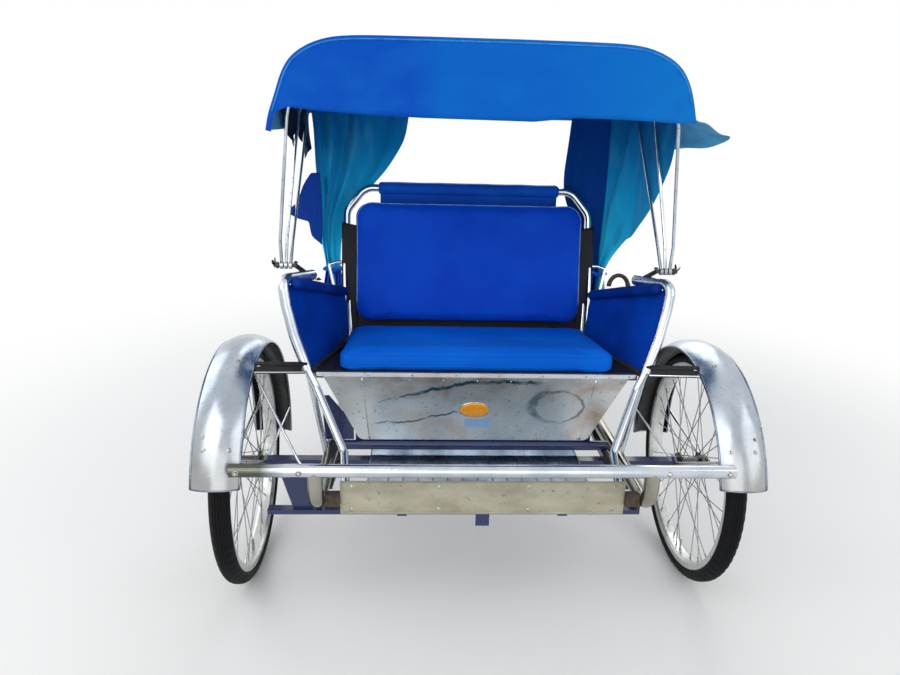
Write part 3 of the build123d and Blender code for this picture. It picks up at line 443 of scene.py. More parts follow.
def saddle_hide():
    """Vegetable-tanned saddle leather, waxed: dark brown, pebbled, polished by use along the nose."""
    material, tree, shader = start("waxed_saddle_leather", "#3A2317", 0.42, 0.0, Sheen_Weight=0.05)
    wear = patches(tree, 60, 0.45, 0.8, detail=4, stretch=(1.0, 0.4, 1.0))
    blend_tones(tree, shader, wear, "#33201A", "#5B3B28")
    vary_roughness(tree, shader, wear, 0.5, 0.3)
    cells = add(tree, "TexVoronoi", {"Vector": own_place(tree), "Scale": 420.0}, feature="DISTANCE_TO_EDGE")
    raise_relief(tree, shader, [(cells.outputs[0], 0.22), (patches(tree, 40, 0.2, 0.8), 0.5)])
    return material


def plain_moulding(name, colour, speck, roughness, size_mm=20, **sockets):
    """A small moulded, painted or rubber piece, finely specked by handling."""
    material, tree, shader = start(name, colour, roughness, 0.0, **sockets)
    blend_tones(tree, shader, patches(tree, size_mm, 0.4, 0.75, detail=4), colour, speck)
    vary_roughness(tree, shader, patches(tree, size_mm, 0.3, 0.8), roughness, min(1.0, roughness + 0.2))
    raise_relief(tree, shader, [(patches(tree, 2.5, 0.3, 0.8), 0.06)])
    return material


plated_tube = chromed_steel("chromed_tube", "#CDD4DC", "#A2ABB5", 0.67)
plated_bow = chromed_steel("nickel_plated_bow_rod", "#C3C9CE", "#8F979E", 0.6)
dull_tube = chromed_steel("worn_plated_rail", "#A5A297", "#7E7B70", 0.66)
guard_sheet = guard_paint("beaten_stainless_guard", 0.0, 0.5903)
rear_guard_sheet = guard_paint("beaten_stainless_rear_guard", WHEELBASE, -1.0)
worn_bumper = chromed_steel("worn_plated_bumper", "#CDD4DC", "#A2ABB5", 0.67, bare_end=(-0.47, -0.53))
guard_wire = stainless_sheet("rolled_guard_edge", "#8E98A4", "#5A636E", 60, 0.5)[0]
apron_sheet = mirrored_apron()
tray_sheet = stainless_sheet("stainless_tray", "#B9C3CC", "#8F9CA8", 80, 0.9)[0]
plate_paint = number_plate()
canvas_face = coated_canvas("blue_coated_canvas", "#034BB2", "#025CB8", "#0872BE")
canvas_back = plain_moulding(
    "canvas_underside", "#4F9CC6", "#3A7EA8", 0.85, 60, Sheen_Weight=0.03, Specular_IOR_Level=0.08
)
canvas_edging = plain_moulding("canvas_edge_piping", "#2C86D2", "#1268BC", 0.6, 30, Specular_IOR_Level=0.2)
teal_curtain = thin_curtain("teal_polyester_curtain", "#05619F", "#0A85C0", "#26C2EA", 1.33, 0.80)
joined_curtain = thin_curtain(
    "teal_curtain_with_painted_shade_panel", "#05619F", "#0A85C0", "#26C2EA", 1.33, 0.80, shaded_panel_tone="#053F8C"
)
# near black: painted shade of the swag under the roof
swag_shade_cloth = plain_moulding("swag_cloth_painted_shade", "#0A1730", "#12283F", 0.8, 60, Specular_IOR_Level=0.15)
royal_cloth = thin_curtain("royal_blue_cloth", "#1245A8", "#154DB4", "#1A56C0", 1.3, 0.9, 0.1)
cushion_vinyl = seat_vinyl("cushion_vinyl", "#0264D4", "#0158C6", "#0A7ADC")
backrest_vinyl = seat_vinyl("backrest_vinyl", "#0348C4", "#023AB4", "#0658CC")
arm_vinyl = seat_vinyl("arm_vinyl", "#0444B0", "#03308C", "#0A58C0")
roll_vinyl = seat_vinyl("arm_roll_vinyl", "#063690", "#04246A", "#0C4CB0")
sleeve_vinyl = seat_vinyl("push_bar_vinyl", "#0A50BE", "#063C9E", "#1464D2")
pale_piping = plain_moulding("pale_vinyl_piping", "#6C98D6", "#2C5CBC", 0.45, 40)
blue_enamel = enamel("blue_enamel", "#0A3C96", "#0B3280")
navy_enamel = enamel("navy_enamel", "#14285C", "#0E1C44")
black_enamel = enamel("black_enamel", "#17181B", "#26272A", 0.3, "#5A4636")
tyre_black = tyre_rubber()
grip_rubber = plain_moulding("ribbed_grip_rubber", "#151517", "#2A2A2B", 0.75, 12)
zinc_bolt = chromed_steel("zinc_plated_bolt", "#B9BAB6", "#80817E", 0.55)
chain_steel = oiled_chain_steel()
saddle_leather = saddle_hide()
# near black: painted shade of the gaps beside the pads, where the boards show
shade_black_board = plain_moulding("plywood_painted_black_for_shade", "#101218", "#23252B", 0.55, 30, Specular_IOR_Level=0.3)
# near black: painted shade of the gaps beside the backrest
shade_black_vinyl = plain_moulding("black_vinyl_painted_shade", "#0B0C12", "#1A1C24", 0.5, 60, Specular_IOR_Level=0.25)
amber_lens = plain_moulding("amber_reflector", "#E89A0C", "#D88404", 0.2, 8, Coat_Weight=0.6)
red_lens = plain_moulding("red_reflector", "#A8120E", "#8C0C0A", 0.2, 8, Coat_Weight=0.6)
label_film = plain_moulding("blank_label_film", "#7FA2CC", "#95B2D6", 0.35, 25)
brown_block = plain_moulding("tarred_wood_block", "#4A3A2C", "#2E241C", 0.7, 14)

# Studio: white for the eye and for mirrors, a plain level for everything else
world = bpy.data.worlds.new("studio")
scene.world = world
world.use_nodes = True
world.node_tree.nodes.clear()


def seen_directly(tree):
    """1 for camera, mirror and glass rays, 0 for the light that falls on things."""
    path = add(tree, "LightPath")
    seen = path.outputs["Is Camera Ray"]
    for ray in ("Is Glossy Ray", "Is Transmission Ray"):
        seen = add(tree, "Math", {0: seen, 1: path.outputs[ray]}, operation="MAXIMUM").outputs[0]
    return seen


sky = world.node_tree
plain_light = add(sky, "Background", {"Color": tone("#F2F5FA"), "Strength": 0.55})
white_field = add(sky, "Background", {"Color": (1.0, 1.0, 1.0, 1.0), "Strength": 1.0})
choice = add(sky, "MixShader", {0: seen_directly(sky), 1: plain_light.outputs[0], 2: white_field.outputs[0]})
add(sky, "OutputWorld", {"Surface": choice.outputs[0]})

# place, aimed at, width, power in watts
lamps = [
    ((-2.6, -3.8, 3.8), (0.0, -0.6, 0.8), 4.0, 100.0),
    ((3.6, -2.8, 2.6), (0.0, -0.4, 0.8), 3.4, 42.0),
    ((1.2, 3.8, 3.6), (0.0, 0.3, 0.7), 4.0, 80.0),
    ((-3.6, 1.4, 2.4), (0.0, 0.2, 0.6), 3.0, 34.0),
    ((-0.2, -5.2, 1.5), (0.0, 0.0, 0.8), 3.6, 40.0),
]
for number, (place, aim, width, power) in enumerate(lamps):
    lamp_data = bpy.data.lights.new(f"softbox_{number}", "AREA")
    lamp_data.size = width
    lamp_data.energy = power
    lamp = bpy.data.objects.new(f"softbox_{number}", lamp_data)
    lamp.location = place
    lamp.rotation_euler = (Vector(aim) - Vector(place)).to_track_quat("-Z", "Y").to_euler()
    scene.collection.objects.link(lamp)

floor_mesh = bpy.data.meshes.new("pale_floor")
FLOOR_HALF = 40
floor_corners = [(x * FLOOR_HALF, y * FLOOR_HALF, 0) for x, y in ((-1, -1), (1, -1), (1, 1), (-1, 1))]
floor_mesh.from_pydata(floor_corners, [], [(0, 1, 2, 3)])
pale_floor = bpy.data.objects.new("pale_floor", floor_mesh)
scene.collection.objects.link(pale_floor)
floor_paint = bpy.data.materials.new("matt_white_floor")
floor_paint.use_nodes = True
ground = floor_paint.node_tree
ground.nodes.clear()
matt = add(ground, "BsdfDiffuse", {"Color": tone("#F4F4F2")})
glow = add(ground, "Emission", {"Color": (1.0, 1.0, 1.0, 1.0), "Strength": 1.0})
outwards = add(ground, "VectorMath", {0: own_place(ground)}, operation="LENGTH").outputs["Value"]
# metres out from the vehicle where the painted floor starts to fade into the white field, and ends
plugs = {"Value": outwards, "From Min": 1.35, "From Max": 3.0}
fade = add(ground, "MapRange", plugs, interpolation_type="SMOOTHSTEP")
share = add(ground, "Math", {0: fade.outputs[0], 1: seen_directly(ground)}, operation="MULTIPLY")
mixed_floor = add(ground, "MixShader", {0: share.outputs[0], 1: matt.outputs[0], 2: glow.outputs[0]})
add(ground, "OutputMaterial", {"Surface": mixed_floor.outputs[0]})
floor_mesh.materials.append(floor_paint)


# Making pieces
def made(name, points, faces, materials, soft=False, edge_deg=38.0):
    """A piece from drawing points; edges sharper than edge_deg stay crisp unless it is soft."""
    coords = np.array(points, float).reshape(-1, 3)
    coords[:, 1] += AXLE_Y
    mesh = bpy.data.meshes.new(name)
    mesh.from_pydata((coords / 1000.0).tolist(), [], faces)
    for material in materials if isinstance(materials, (list, tuple)) else [materials]:
        mesh.materials.append(material)
    mesh.polygons.foreach_set("use_smooth", [True] * len(mesh.polygons))
    if not soft:
        work = bmesh.new()
        work.from_mesh(mesh)
        for edge in work.edges:
            if len(edge.link_faces) == 2 and edge.calc_face_angle(0.0) > math.radians(edge_deg):
                edge.smooth = False
        work.to_mesh(mesh)
        work.free()
    mesh.update()
    piece = bpy.data.objects.new(name, mesh)
    scene.collection.objects.link(piece)
    return piece


def settle(piece, kind, **settings):
    """Adds a modifier and bakes it into the piece's mesh."""
    modifier = piece.modifiers.new(kind.lower(), kind)
    for name, value in settings.items():
        setattr(modifier, name, value)
    evaluated = piece.evaluated_get(bpy.context.evaluated_depsgraph_get())
    mesh = bpy.data.meshes.new_from_object(evaluated)
    piece.modifiers.clear()
    old = piece.data
    piece.data = mesh
    bpy.data.meshes.remove(old)
    mesh.name = piece.name
    return piece


def grid_faces(rows, columns, closed=False):
    """Quads of a grid of rows by columns, closed where the last column meets the first."""
    faces = []
    span = columns if closed else columns - 1
    for r in range(rows - 1):
        for c in range(span):
            d = (c + 1) % columns
            faces.append((r * columns + c, r * columns + d, (r + 1) * columns + d, (r + 1) * columns + c))
    return faces


def capped_faces(rows, columns):
    """Quads of a tube of rows by columns, with a cap over each end."""
    faces = grid_faces(rows, columns, True)
    faces.append(tuple(range(columns))[::-1])
    faces.append(tuple(range((rows - 1) * columns, rows * columns)))
    return faces


def round_angles(count):
    """Evenly spaced angles round a full turn."""
    return [2 * math.pi * k / count for k in range(count)]


def face_outwards(piece):
    """Turns every face of a closed piece to look out of it."""
    work = bmesh.new()
    work.from_mesh(piece.data)
    bmesh.ops.recalc_face_normals(work, faces=work.faces)
    work.to_mesh(piece.data)
    work.free()


class Batch:
    """Many small solids gathered into one piece."""

    def __init__(self):
        """Starts with nothing laid."""
        self.points = []
        self.faces = []

    def lay(self, points, faces):
        """Adds one solid's points and faces."""
        base = len(self.points)
        self.points.extend([tuple(p) for p in points])
        self.faces.extend([tuple(base + i for i in face) for face in faces])

    def turned(self, centre, axis, profile, sides=14):
        """A turned shape about an axis: profile rows are radius and distance along the axis."""
        axis = Vector(axis).normalized()
        side = axis.orthogonal().normalized()
        other = axis.cross(side)
        centre = Vector(centre)
        points = []
        for radius, along in profile:
            for a in round_angles(sides):
                points.append(centre + axis * along + (side * math.cos(a) + other * math.sin(a)) * radius)
        faces = [tuple(reversed(face)) for face in grid_faces(len(profile), sides, True)]
        faces.append(tuple(range(sides))[::-1] if profile[0][1] < profile[-1][1] else tuple(range(sides)))
        last = (len(profile) - 1) * sides
        faces.append(tuple(range(last, last + sides)))
        self.lay(points, faces)

    def bolt(self, centre, axis, size=6.0):
        """Washer and domed head."""
        self.turned(centre, axis, [(size * 1.5, -0.4), (size * 1.5, 0.6), (size * 1.3, 1.0)], 16)
        head = [(size, 0.9), (size, size * 0.55), (size * 0.72, size * 0.85), (size * 0.3, size)]
        self.turned(centre, axis, head, 6)

    def rivet(self, centre, axis, size=3.2):
        """Low round head."""
        shares = [(0.96, 0.25), (0.7, 0.52), (0.25, 0.66)]
        self.turned(centre, axis, [(size, -0.3)] + [(size * r, size * h) for r, h in shares], 12)

    def tube(self, line, radius, sides=10, closed=False, squash=(1.0, 1.0)):
        """A round or oval tube along a line of points; radius is a number or one per point."""
        line = [Vector(p) for p in line]
        count = len(line)
        radii = radius if hasattr(radius, "__len__") else [radius] * count
        run = []
        for i in range(count):
            before = line[i - 1] if (i or closed) else line[i]
            after = line[(i + 1) % count] if (i < count - 1 or closed) else line[i]
            run.append((after - before).normalized())
        side = run[0].orthogonal().normalized()
        points = []
        for i in range(count):
            side = (side - run[i] * side.dot(run[i])).normalized()
            other = run[i].cross(side)
            for a in round_angles(sides):
                off = side * math.cos(a) * squash[0] + other * math.sin(a) * squash[1]
                points.append(line[i] + off * radii[i])
        faces = grid_faces(count, sides, True) if closed else capped_faces(count, sides)
        faces = [tuple(reversed(face)) for face in faces]
        if closed:
            last = (count - 1) * sides
            for k in range(sides):
                d = (k + 1) % sides
                faces.append((last + k, k, d, last + d))
        self.lay(points, faces)

    def slab(self, corners, thickness, direction):
        """A flat plate from its corner points, thickened along a direction."""
        push = Vector(direction).normalized() * thickness
        low = [Vector(p) for p in corners]
        high = [p + push for p in low]
        n = len(low)
        faces = [tuple(range(n))[::-1], tuple(range(n, 2 * n))]
        faces += [(i, (i + 1) % n, n + (i + 1) % n, n + i) for i in range(n)]
        self.lay(low + high, faces)

    def finish(self, name, material, body, edge_deg=38.0, soft=False):
        """Makes the piece; it rides its body where one is given."""
        piece = made(name, self.points, self.faces, material, soft, edge_deg)
        face_outwards(piece)
        if body:
            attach(piece, body)
        return piece


def smooth_line(points, rounds=3):
    """A corner-cut line through rough points, its ends kept."""
    line = np.array(points, float)
    for _ in range(rounds):
        quarter = line[:-1] * 0.75 + line[1:] * 0.25
        last = line[:-1] * 0.25 + line[1:] * 0.75
        cut = np.empty((2 * len(quarter), line.shape[1]))
        cut[0::2], cut[1::2] = quarter, last
        line = np.vstack([line[:1], cut[1:-1], line[-1:]])
    return line


def spaced(line, count):
    """The same line with evenly spaced points."""
    line = np.array(line, float)
    run = np.r_[0, np.cumsum(np.linalg.norm(np.diff(line, axis=0), axis=1))]
    where = np.linspace(0, run[-1], count)
    return np.stack([np.interp(where, run, line[:, k]) for k in range(line.shape[1])], 1)


def ripple(point, size_mm, seed=0.0):
    """A smooth random value from about -1 to 1 at a drawing point."""
    p = Vector(point) / size_mm
    return noise.noise(Vector((p.x + seed, p.y - seed * 0.7, p.z + seed * 1.3)))


def point_grid(place, rows, columns):
    """A grid of points place(u, v), with u going from 0 to 1 along each row and v from row to row."""
    return np.array([[place(u, v) for u in np.linspace(0, 1, columns)] for v in np.linspace(0, 1, rows)])


def cloth(name, grid, materials, thickness_mm=1.6, flip=False):
    """A cloth from a grid of points, its area measured before its thickness is added."""
    rows, columns = grid.shape[:2]
    faces = grid_faces(rows, columns)
    if flip:
        faces = [face[::-1] for face in faces]
    piece = made(name, grid, faces, materials, soft=True)
    area = sum(face.area for face in piece.data.polygons)
    back = 1 if isinstance(materials, (list, tuple)) and len(materials) > 1 else 0
    settle(piece, "SOLIDIFY", thickness=thickness_mm / 1000.0, offset=-1.0, material_offset=back)
    return piece, area


# Hood cloth
ROOF_TOP = 1492.0
FRONT_EDGE_Y = -16.0
REAR_EDGE_Y = 560.0
MIDDLE_BOW_Y = 275.0
# x and z of the arch from the right hem, over the top, to the left hem
arch_right = [
    (-553, 1262), (-546, 1300), (-530, 1344), (-510, 1403),
    (-482, 1443), (-431, 1473), (-366, 1489), (-240, 1491),
]
arch_left = [(240, 1491), (366, 1489), (431, 1473), (482, 1443), (510, 1403), (528, 1354), (539, 1308)]
arch = spaced(smooth_line(arch_right + [(0, ROOF_TOP)] + arch_left, 3), 161)
arch_tangent = np.gradient(arch, axis=0)
arch_tangent /= np.linalg.norm(arch_tangent, axis=1)[:, None]
arch_inward = np.stack([arch_tangent[:, 1], -arch_tangent[:, 0]], 1)
# x and z of the front and rear hems
front_hem = (
    [-545, -500, -430, -300, -160, 120, 230, 380, 500, 540],
    [1300, 1319, 1312, 1305, 1301, 1299, 1311, 1309, 1304, 1310],
)
rear_hem = ([-545, 0, 545], [1304, 1300, 1304])
# height where the arch turns from side to top
SHOULDER_Z = 1330.0


def roof_row(y, inset, sag):
    """One row of the roof across the vehicle, drawn in by inset and sagging between its bows."""
    row = np.empty((len(arch), 3))
    for i, (x, z) in enumerate(arch):
        top_share = max(0.0, (z - SHOULDER_Z) / (ROOF_TOP - SHOULDER_Z))
        drop = inset + sag * (0.35 + 0.65 * top_share)
        wave = 1.0 + 1.3 * ripple((x, y, z), 120.0, 3.0) * (1.4 - top_share)
        row[i] = (x + arch_inward[i, 0] * (drop + wave), y, z + arch_inward[i, 1] * (drop + wave))
    return row


ROOF_ROWS, TURN_ROWS = 26, 4
# shares of the valance's height at which its rows lie; below HEM_FROM the hem is doubled
valance_rows = [0.02, 0.06, 0.12, 0.2, 0.3, 0.4, 0.5, 0.6, 0.7, 0.78, 0.85, 0.87, 0.93, 1.0]
HEM_FROM = 0.86


def roof_panel(y_bow, y_edge, hem_line, droop_seed):
    """Roof cloth from the middle bow to an end bow, turned down there into a valance."""
    way = 1.0 if y_edge > y_bow else -1.0
    turn_radius = 9.0
    # where along the panel its end bow lies, beyond which the cloth is level
    bow_share = 0.93 if way < 0 else 0.85
    rows = []
    for t in np.linspace(0, 1, ROOF_ROWS):
        y = y_bow + (y_edge - way * turn_radius - y_bow) * t
        between = min(1.0, t / bow_share)
        rows.append(roof_row(y, 0.0, 9.0 * math.sin(math.pi * between)))
    for k in range(1, TURN_ROWS + 1):
        a = k / TURN_ROWS * math.pi / 2
        y = y_edge - way * turn_radius * (1 - math.sin(a))
        rows.append(roof_row(y, turn_radius * (1 - math.cos(a)), 0.0))
    top = rows[-1].copy()
    for share in valance_rows:
        row = top.copy()
        for i in range(len(row)):
            x, _, z = top[i]
            hem = float(np.interp(x, hem_line[0], hem_line[1]))
            low = min(z - 1.5, hem)
            height = z - low
            row[i, 2] = z - height * share
            row[i, 0] = x * (1 - 0.012 * share)
            depth = min(1.0, height / 120.0)
            corner = math.exp(-((abs(x) - 500.0) / 90.0) ** 2)
            fold = 5.0 * ripple((x, 0, z * 0.4), 95.0, droop_seed) * share
            fan = 6.0 * corner * math.sin((row[i, 2] - abs(x)) / 17.0) * (0.3 + share * 0.7)
            hem_band = 1.6 if share > HEM_FROM else 0.0
            row[i, 1] = y_edge + way * (depth * (fold + fan + 4.0 * share) + hem_band)
        rows.append(row)
    return np.array(rows)


front_grid = roof_panel(MIDDLE_BOW_Y - 0.5, FRONT_EDGE_Y, front_hem, 1.7)
rear_grid = roof_panel(MIDDLE_BOW_Y + 0.5, REAR_EDGE_Y, rear_hem, 8.3)
canvas_sides = [canvas_face, canvas_back]
canopy_front_cloth, front_area = cloth("canopy_front_cloth", front_grid, canvas_sides, flip=True)
canopy_rear_cloth, rear_area = cloth("canopy_rear_cloth", rear_grid, canvas_sides)
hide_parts("canopy_front")
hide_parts("canopy_rear")


def edge_piping(name, grid, proud):
    """Piping along a roof edge, on the row where the cloth has turned down."""
    cord = Batch()
    edge_row = grid[ROOF_ROWS + TURN_ROWS - 1][6:-6]
    cord.tube([(x, y + proud, z) for x, y, z in edge_row], 2.2, 8)
    return cord.finish(name, canvas_edging, None, soft=True)


front_piping = edge_piping("front_roof_piping", front_grid, -0.6)
rear_piping = edge_piping("rear_roof_piping", rear_grid, 0.6)

# Overlap seam along the middle bow
seam_cord = Batch()
seam_row = roof_row(MIDDLE_BOW_Y, -1.6, 0.0)
seam_cord.tube(seam_row[3:-3], 1.0, 8, squash=(14.0, 1.4))
middle_seam = seam_cord.finish("middle_roof_seam", canvas_face, "hood_middle", soft=True)

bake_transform(canopy_front_cloth)
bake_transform(front_piping)
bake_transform(canopy_rear_cloth)
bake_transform(rear_piping)

# Curtains: gathered from the roof's edge to a tie behind the seat's corner
TIE_Z = 800.0
CURTAIN_ROWS, TAIL_ROWS = 64, 12
# y of the rear valance's inner side, and the height of its hem
VALANCE_Y, HEM_Z = 553, 1300
# in front of this y the joined curtain runs along the vehicle's side, outside the bows' legs
SIDE_FROM_Y = 430
leg_z, leg_x = [1150, 1300], [523, 514]


def curtain_grid(top, inner, outer, folds, seed):
    """Rows from the roof down to the tie and a short tail; each row runs from the inner to the outer edge.

    Each fold is its share across the cloth, its depth in mm and its width as a share.
    """
    columns = 150
    top_line = spaced(smooth_line(top, 2), columns)
    inner_line = spaced(smooth_line(inner, 2), CURTAIN_ROWS)
    outer_line = spaced(smooth_line(outer, 2), CURTAIN_ROWS)
    across = np.linspace(0, 1, columns)
    chord_top = top_line[0] + np.outer(across, top_line[-1] - top_line[0])
    bulge = top_line - chord_top
    rows = []
    for step in range(CURTAIN_ROWS):
        v = step / (CURTAIN_ROWS - 1)
        a, b = inner_line[step], outer_line[step]
        row = a + np.outer(across, b - a) + bulge * (1 - v) ** 0.8
        width = np.linalg.norm(b - a)
        row[:, 2] -= 0.08 * width * math.sin(math.pi * v) * np.sin(math.pi * across)
        run = np.gradient(row, axis=0)
        run[:, 2] = 0
        run /= np.linalg.norm(run, axis=1)[:, None] + 1e-9
        normal = np.stack([-run[:, 1], run[:, 0], np.zeros(columns)], 1)
        push = np.zeros(columns)
        deepening = 0.35 + 0.65 * math.sin(math.pi * min(1, 0.25 + v))
        for share, depth, spread in folds:
            push += depth * np.exp(-(((across - share) / spread) ** 2)) * deepening
        wobble = np.array([ripple((u * 300.0, v * 420.0, 0), 110.0, seed) for u in across])
        push += 9.0 * wobble * (0.4 + 0.6 * v)
        gather = v ** 3 * min(1.0, 0.3 + width / 200.0)
        push += 7.0 * gather * np.sin(across * 34.0 + 2.0 * wobble)
        row = row + normal * push[:, None]
        # the top stays in front of the roof's turned-down rear edge
        row[:, 1] = np.minimum(row[:, 1], VALANCE_Y + np.clip(HEM_Z - row[:, 2], 0, None) * 0.5)
        beside = np.clip((SIDE_FROM_Y - row[:, 1]) / 40, 0, 1)
        clear_x = np.interp(row[:, 2], leg_z, leg_x) - 30 * (1 - beside)
        row[:, 0] = np.where(beside > 0, np.maximum(row[:, 0], clear_x), row[:, 0])
        rows.append(row)
    last = rows[-1]
    middle = last.mean(axis=0)
    for step in range(1, TAIL_ROWS + 1):
        spread = 1.0 + step * 0.08 - (step / TAIL_ROWS) ** 3 * 0.6
        tail = middle + (last - middle) * (spread, spread, 1.0)
        tail[:, 2] = last[:, 2] - step * 9.0 * (1.0 + 0.2 * np.sin(across * 9.0))
        rows.append(tail)
    return np.array(rows)


right_curtain_grid = curtain_grid(
    [(-200, 546, 1326), (-300, 552, 1328), (-410, 552, 1328), (-490, 540, 1326), (-512, 500, 1324)],
    [
        (-200, 546, 1326), (-211, 545, 1240), (-236, 545, 1190), (-286, 546, 1115),
        (-372, 544, 1030), (-418, 538, 965), (-428, 528, 880), (-432, 523, TIE_Z),
    ],
    [
        (-512, 500, 1324), (-506, 508, 1240), (-502, 512, 1100), (-494, 516, 950),
        (-486, 520, 860), (-480, 521, TIE_Z),
    ],
    [
        (0.12, 7, 0.07), (0.3, -16, 0.12), (0.52, 22, 0.07),
        (0.64, -20, 0.06), (0.78, 24, 0.06), (0.9, -16, 0.05),
    ],
    2.0,
)
left_curtain_grid = curtain_grid(
    [
        (335, 546, 1326), (420, 554, 1328), (476, 545, 1328), (508, 500, 1326),
        (520, 380, 1322), (527, 240, 1318), (531, 105, 1314),
    ],
    [
        (335, 546, 1326), (328, 547, 1220), (320, 547, 1120), (330, 547, 1040),
        (372, 544, 960), (412, 535, 880), (432, 523, TIE_Z),
    ],
    [
        (531, 105, 1314), (534, 112, 1215), (532, 160, 1140), (528, 230, 1060),
        (522, 330, 985), (508, 430, 920), (490, 500, 850), (480, 521, TIE_Z),
    ],
    [
        (0.08, 10, 0.05), (0.2, -18, 0.06), (0.34, 16, 0.05),
        (0.46, -12, 0.05), (0.66, 15, 0.08), (0.84, -12, 0.07),
    ],
    5.0,
)
right_curtain, right_area = cloth("right_curtain", right_curtain_grid, teal_curtain, 1.0)
left_curtain, left_area = cloth("left_curtain", left_curtain_grid, joined_curtain, 1.0)
# the tail below the tie shows the darker side of the cloth
right_curtain.data.materials.append(royal_cloth)
for face in right_curtain.data.polygons:
    if face.center.z < (TIE_Z - 2) / 1000:
        face.material_index = 1
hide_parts("curtain_right")
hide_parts("curtain_left")


# A loose corner of the right curtain, blown forward and thrown back over its own folds
def corner_point(u, v):
    """A point of the loose corner: u forward from its root to its tip, v from its upper edge down."""
    high = float(np.interp(u, [0, 0.35, 0.6, 0.8, 1.0], [1120, 1128, 1078, 1056, 1050]))
    low = float(np.interp(u, [0, 0.25, 0.5, 0.78, 1.0], [880, 925, 985, 1010, 1034]))
    x = -492 - 34 * u + 9 * math.sin(u * 8.0 + v * 3.0) * math.sin(math.pi * min(1, u + 0.15))
    return (x, 518 - 382 * u, high + (low - high) * v)


corner_grid = point_grid(corner_point, 26, 34)
loose_corner, corner_area = cloth("right_curtain_loose_corner", corner_grid, royal_cloth, 1.0)

# Swag of the rolled-up side cloth under the roof's right edge, its cloth painted near black for the shade
# there
SWAG_FRONT_Y, SWAG_REAR_Y = 70.0, 532.0
# how deep it hangs at shares of its length, front to rear
swag_hang = ([0, 0.12, 0.34, 0.48, 0.6, 0.76, 0.88, 1.0], [10, 34, 112, 62, 58, 110, 150, 120])


def swag_grid(front_y, rear_y, columns):
    """Rows of the swag from the roof's edge down, between two places along the roof."""

    def swag_point(u, v):
        y = front_y + (rear_y - front_y) * u
        share = (y - SWAG_FRONT_Y) / (SWAG_REAR_Y - SWAG_FRONT_Y)
        x = -524 - 4 * math.sin(v * 3) + 9 * v * math.sin(share * 26.0)
        return (x, y, 1314 - v * float(np.interp(share, *swag_hang)))

    return point_grid(swag_point, 16, columns)


# sewn in two lengths that meet at the middle bow
front_swag, front_swag_area = cloth(
    "right_side_swag_front", swag_grid(SWAG_FRONT_Y, MIDDLE_BOW_Y, 36), swag_shade_cloth, 1.0, flip=True
)
rear_swag, rear_swag_area = cloth(
    "right_side_swag_rear", swag_grid(MIDDLE_BOW_Y, SWAG_REAR_Y, 46), swag_shade_cloth, 1.0, flip=True
)

# Side flap on the left, lifted outwards like a small awning
FLAP_COLUMNS = 54
flap_corners = [
    (542, -4, 1308), (622, 58, 1290), (704, 126, 1262),
    (664, 190, 1246), (604, 276, 1224), (548, 368, 1232),
]
flap_hem = spaced(smooth_line(flap_corners, 2), FLAP_COLUMNS)


def flap_point(u, v):
    """A point of the flap: u back along the roof's edge, v out to its hem."""
    root = np.array([536.0, -4 + 372 * u, 1316.0])
    x, y, z = root + (flap_hem[round(u * (FLAP_COLUMNS - 1))] - root) * v
    return (x, y, z - 10 * math.sin(math.pi * v) * math.sin(math.pi * u) + 5 * v * math.sin(u * 19.0))


flap_grid = point_grid(flap_point, 26, FLAP_COLUMNS)
side_flap, flap_area = cloth("left_side_flap", flap_grid, [canvas_back, canvas_face], 1.4)

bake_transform(right_curtain)
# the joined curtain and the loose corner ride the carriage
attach(left_curtain, "carriage")
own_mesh(left_curtain)
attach(loose_corner, "carriage")
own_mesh(loose_corner)
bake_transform(front_swag)
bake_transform(rear_swag)
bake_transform(side_flap)

# Tie straps round the gathers, taken to the push frame's legs
for side, hand in SIDES:
    strap = Batch()
    ring = []
    for a in round_angles(28):
        ring.append((side * 456 + 30 * math.cos(a), 522 + 17 * math.sin(a), TIE_Z + 3 * math.sin(a)))
    strap.tube(ring, 3.0, 8, closed=True, squash=(1.0, 2.6))
    link = [
        (side * 450, 507, TIE_Z), (side * 436, 486, TIE_Z + 8),
        (side * 423, 462, TIE_Z + 14), (side * 408, 440, TIE_Z + 12),
    ]
    strap.tube(smooth_line(link, 2), 2.6, 8, squash=(1.0, 2.2))
    loop = []
    for a in round_angles(24):
        loop.append((side * 404 + 15.5 * math.cos(a), 456 + 15.5 * math.sin(a), TIE_Z + 14))
    strap.tube(loop, 2.4, 8, closed=True, squash=(1.0, 2.6))
    band = strap.finish(f"curtain_tie_{hand}", royal_cloth, "carriage", soft=True)


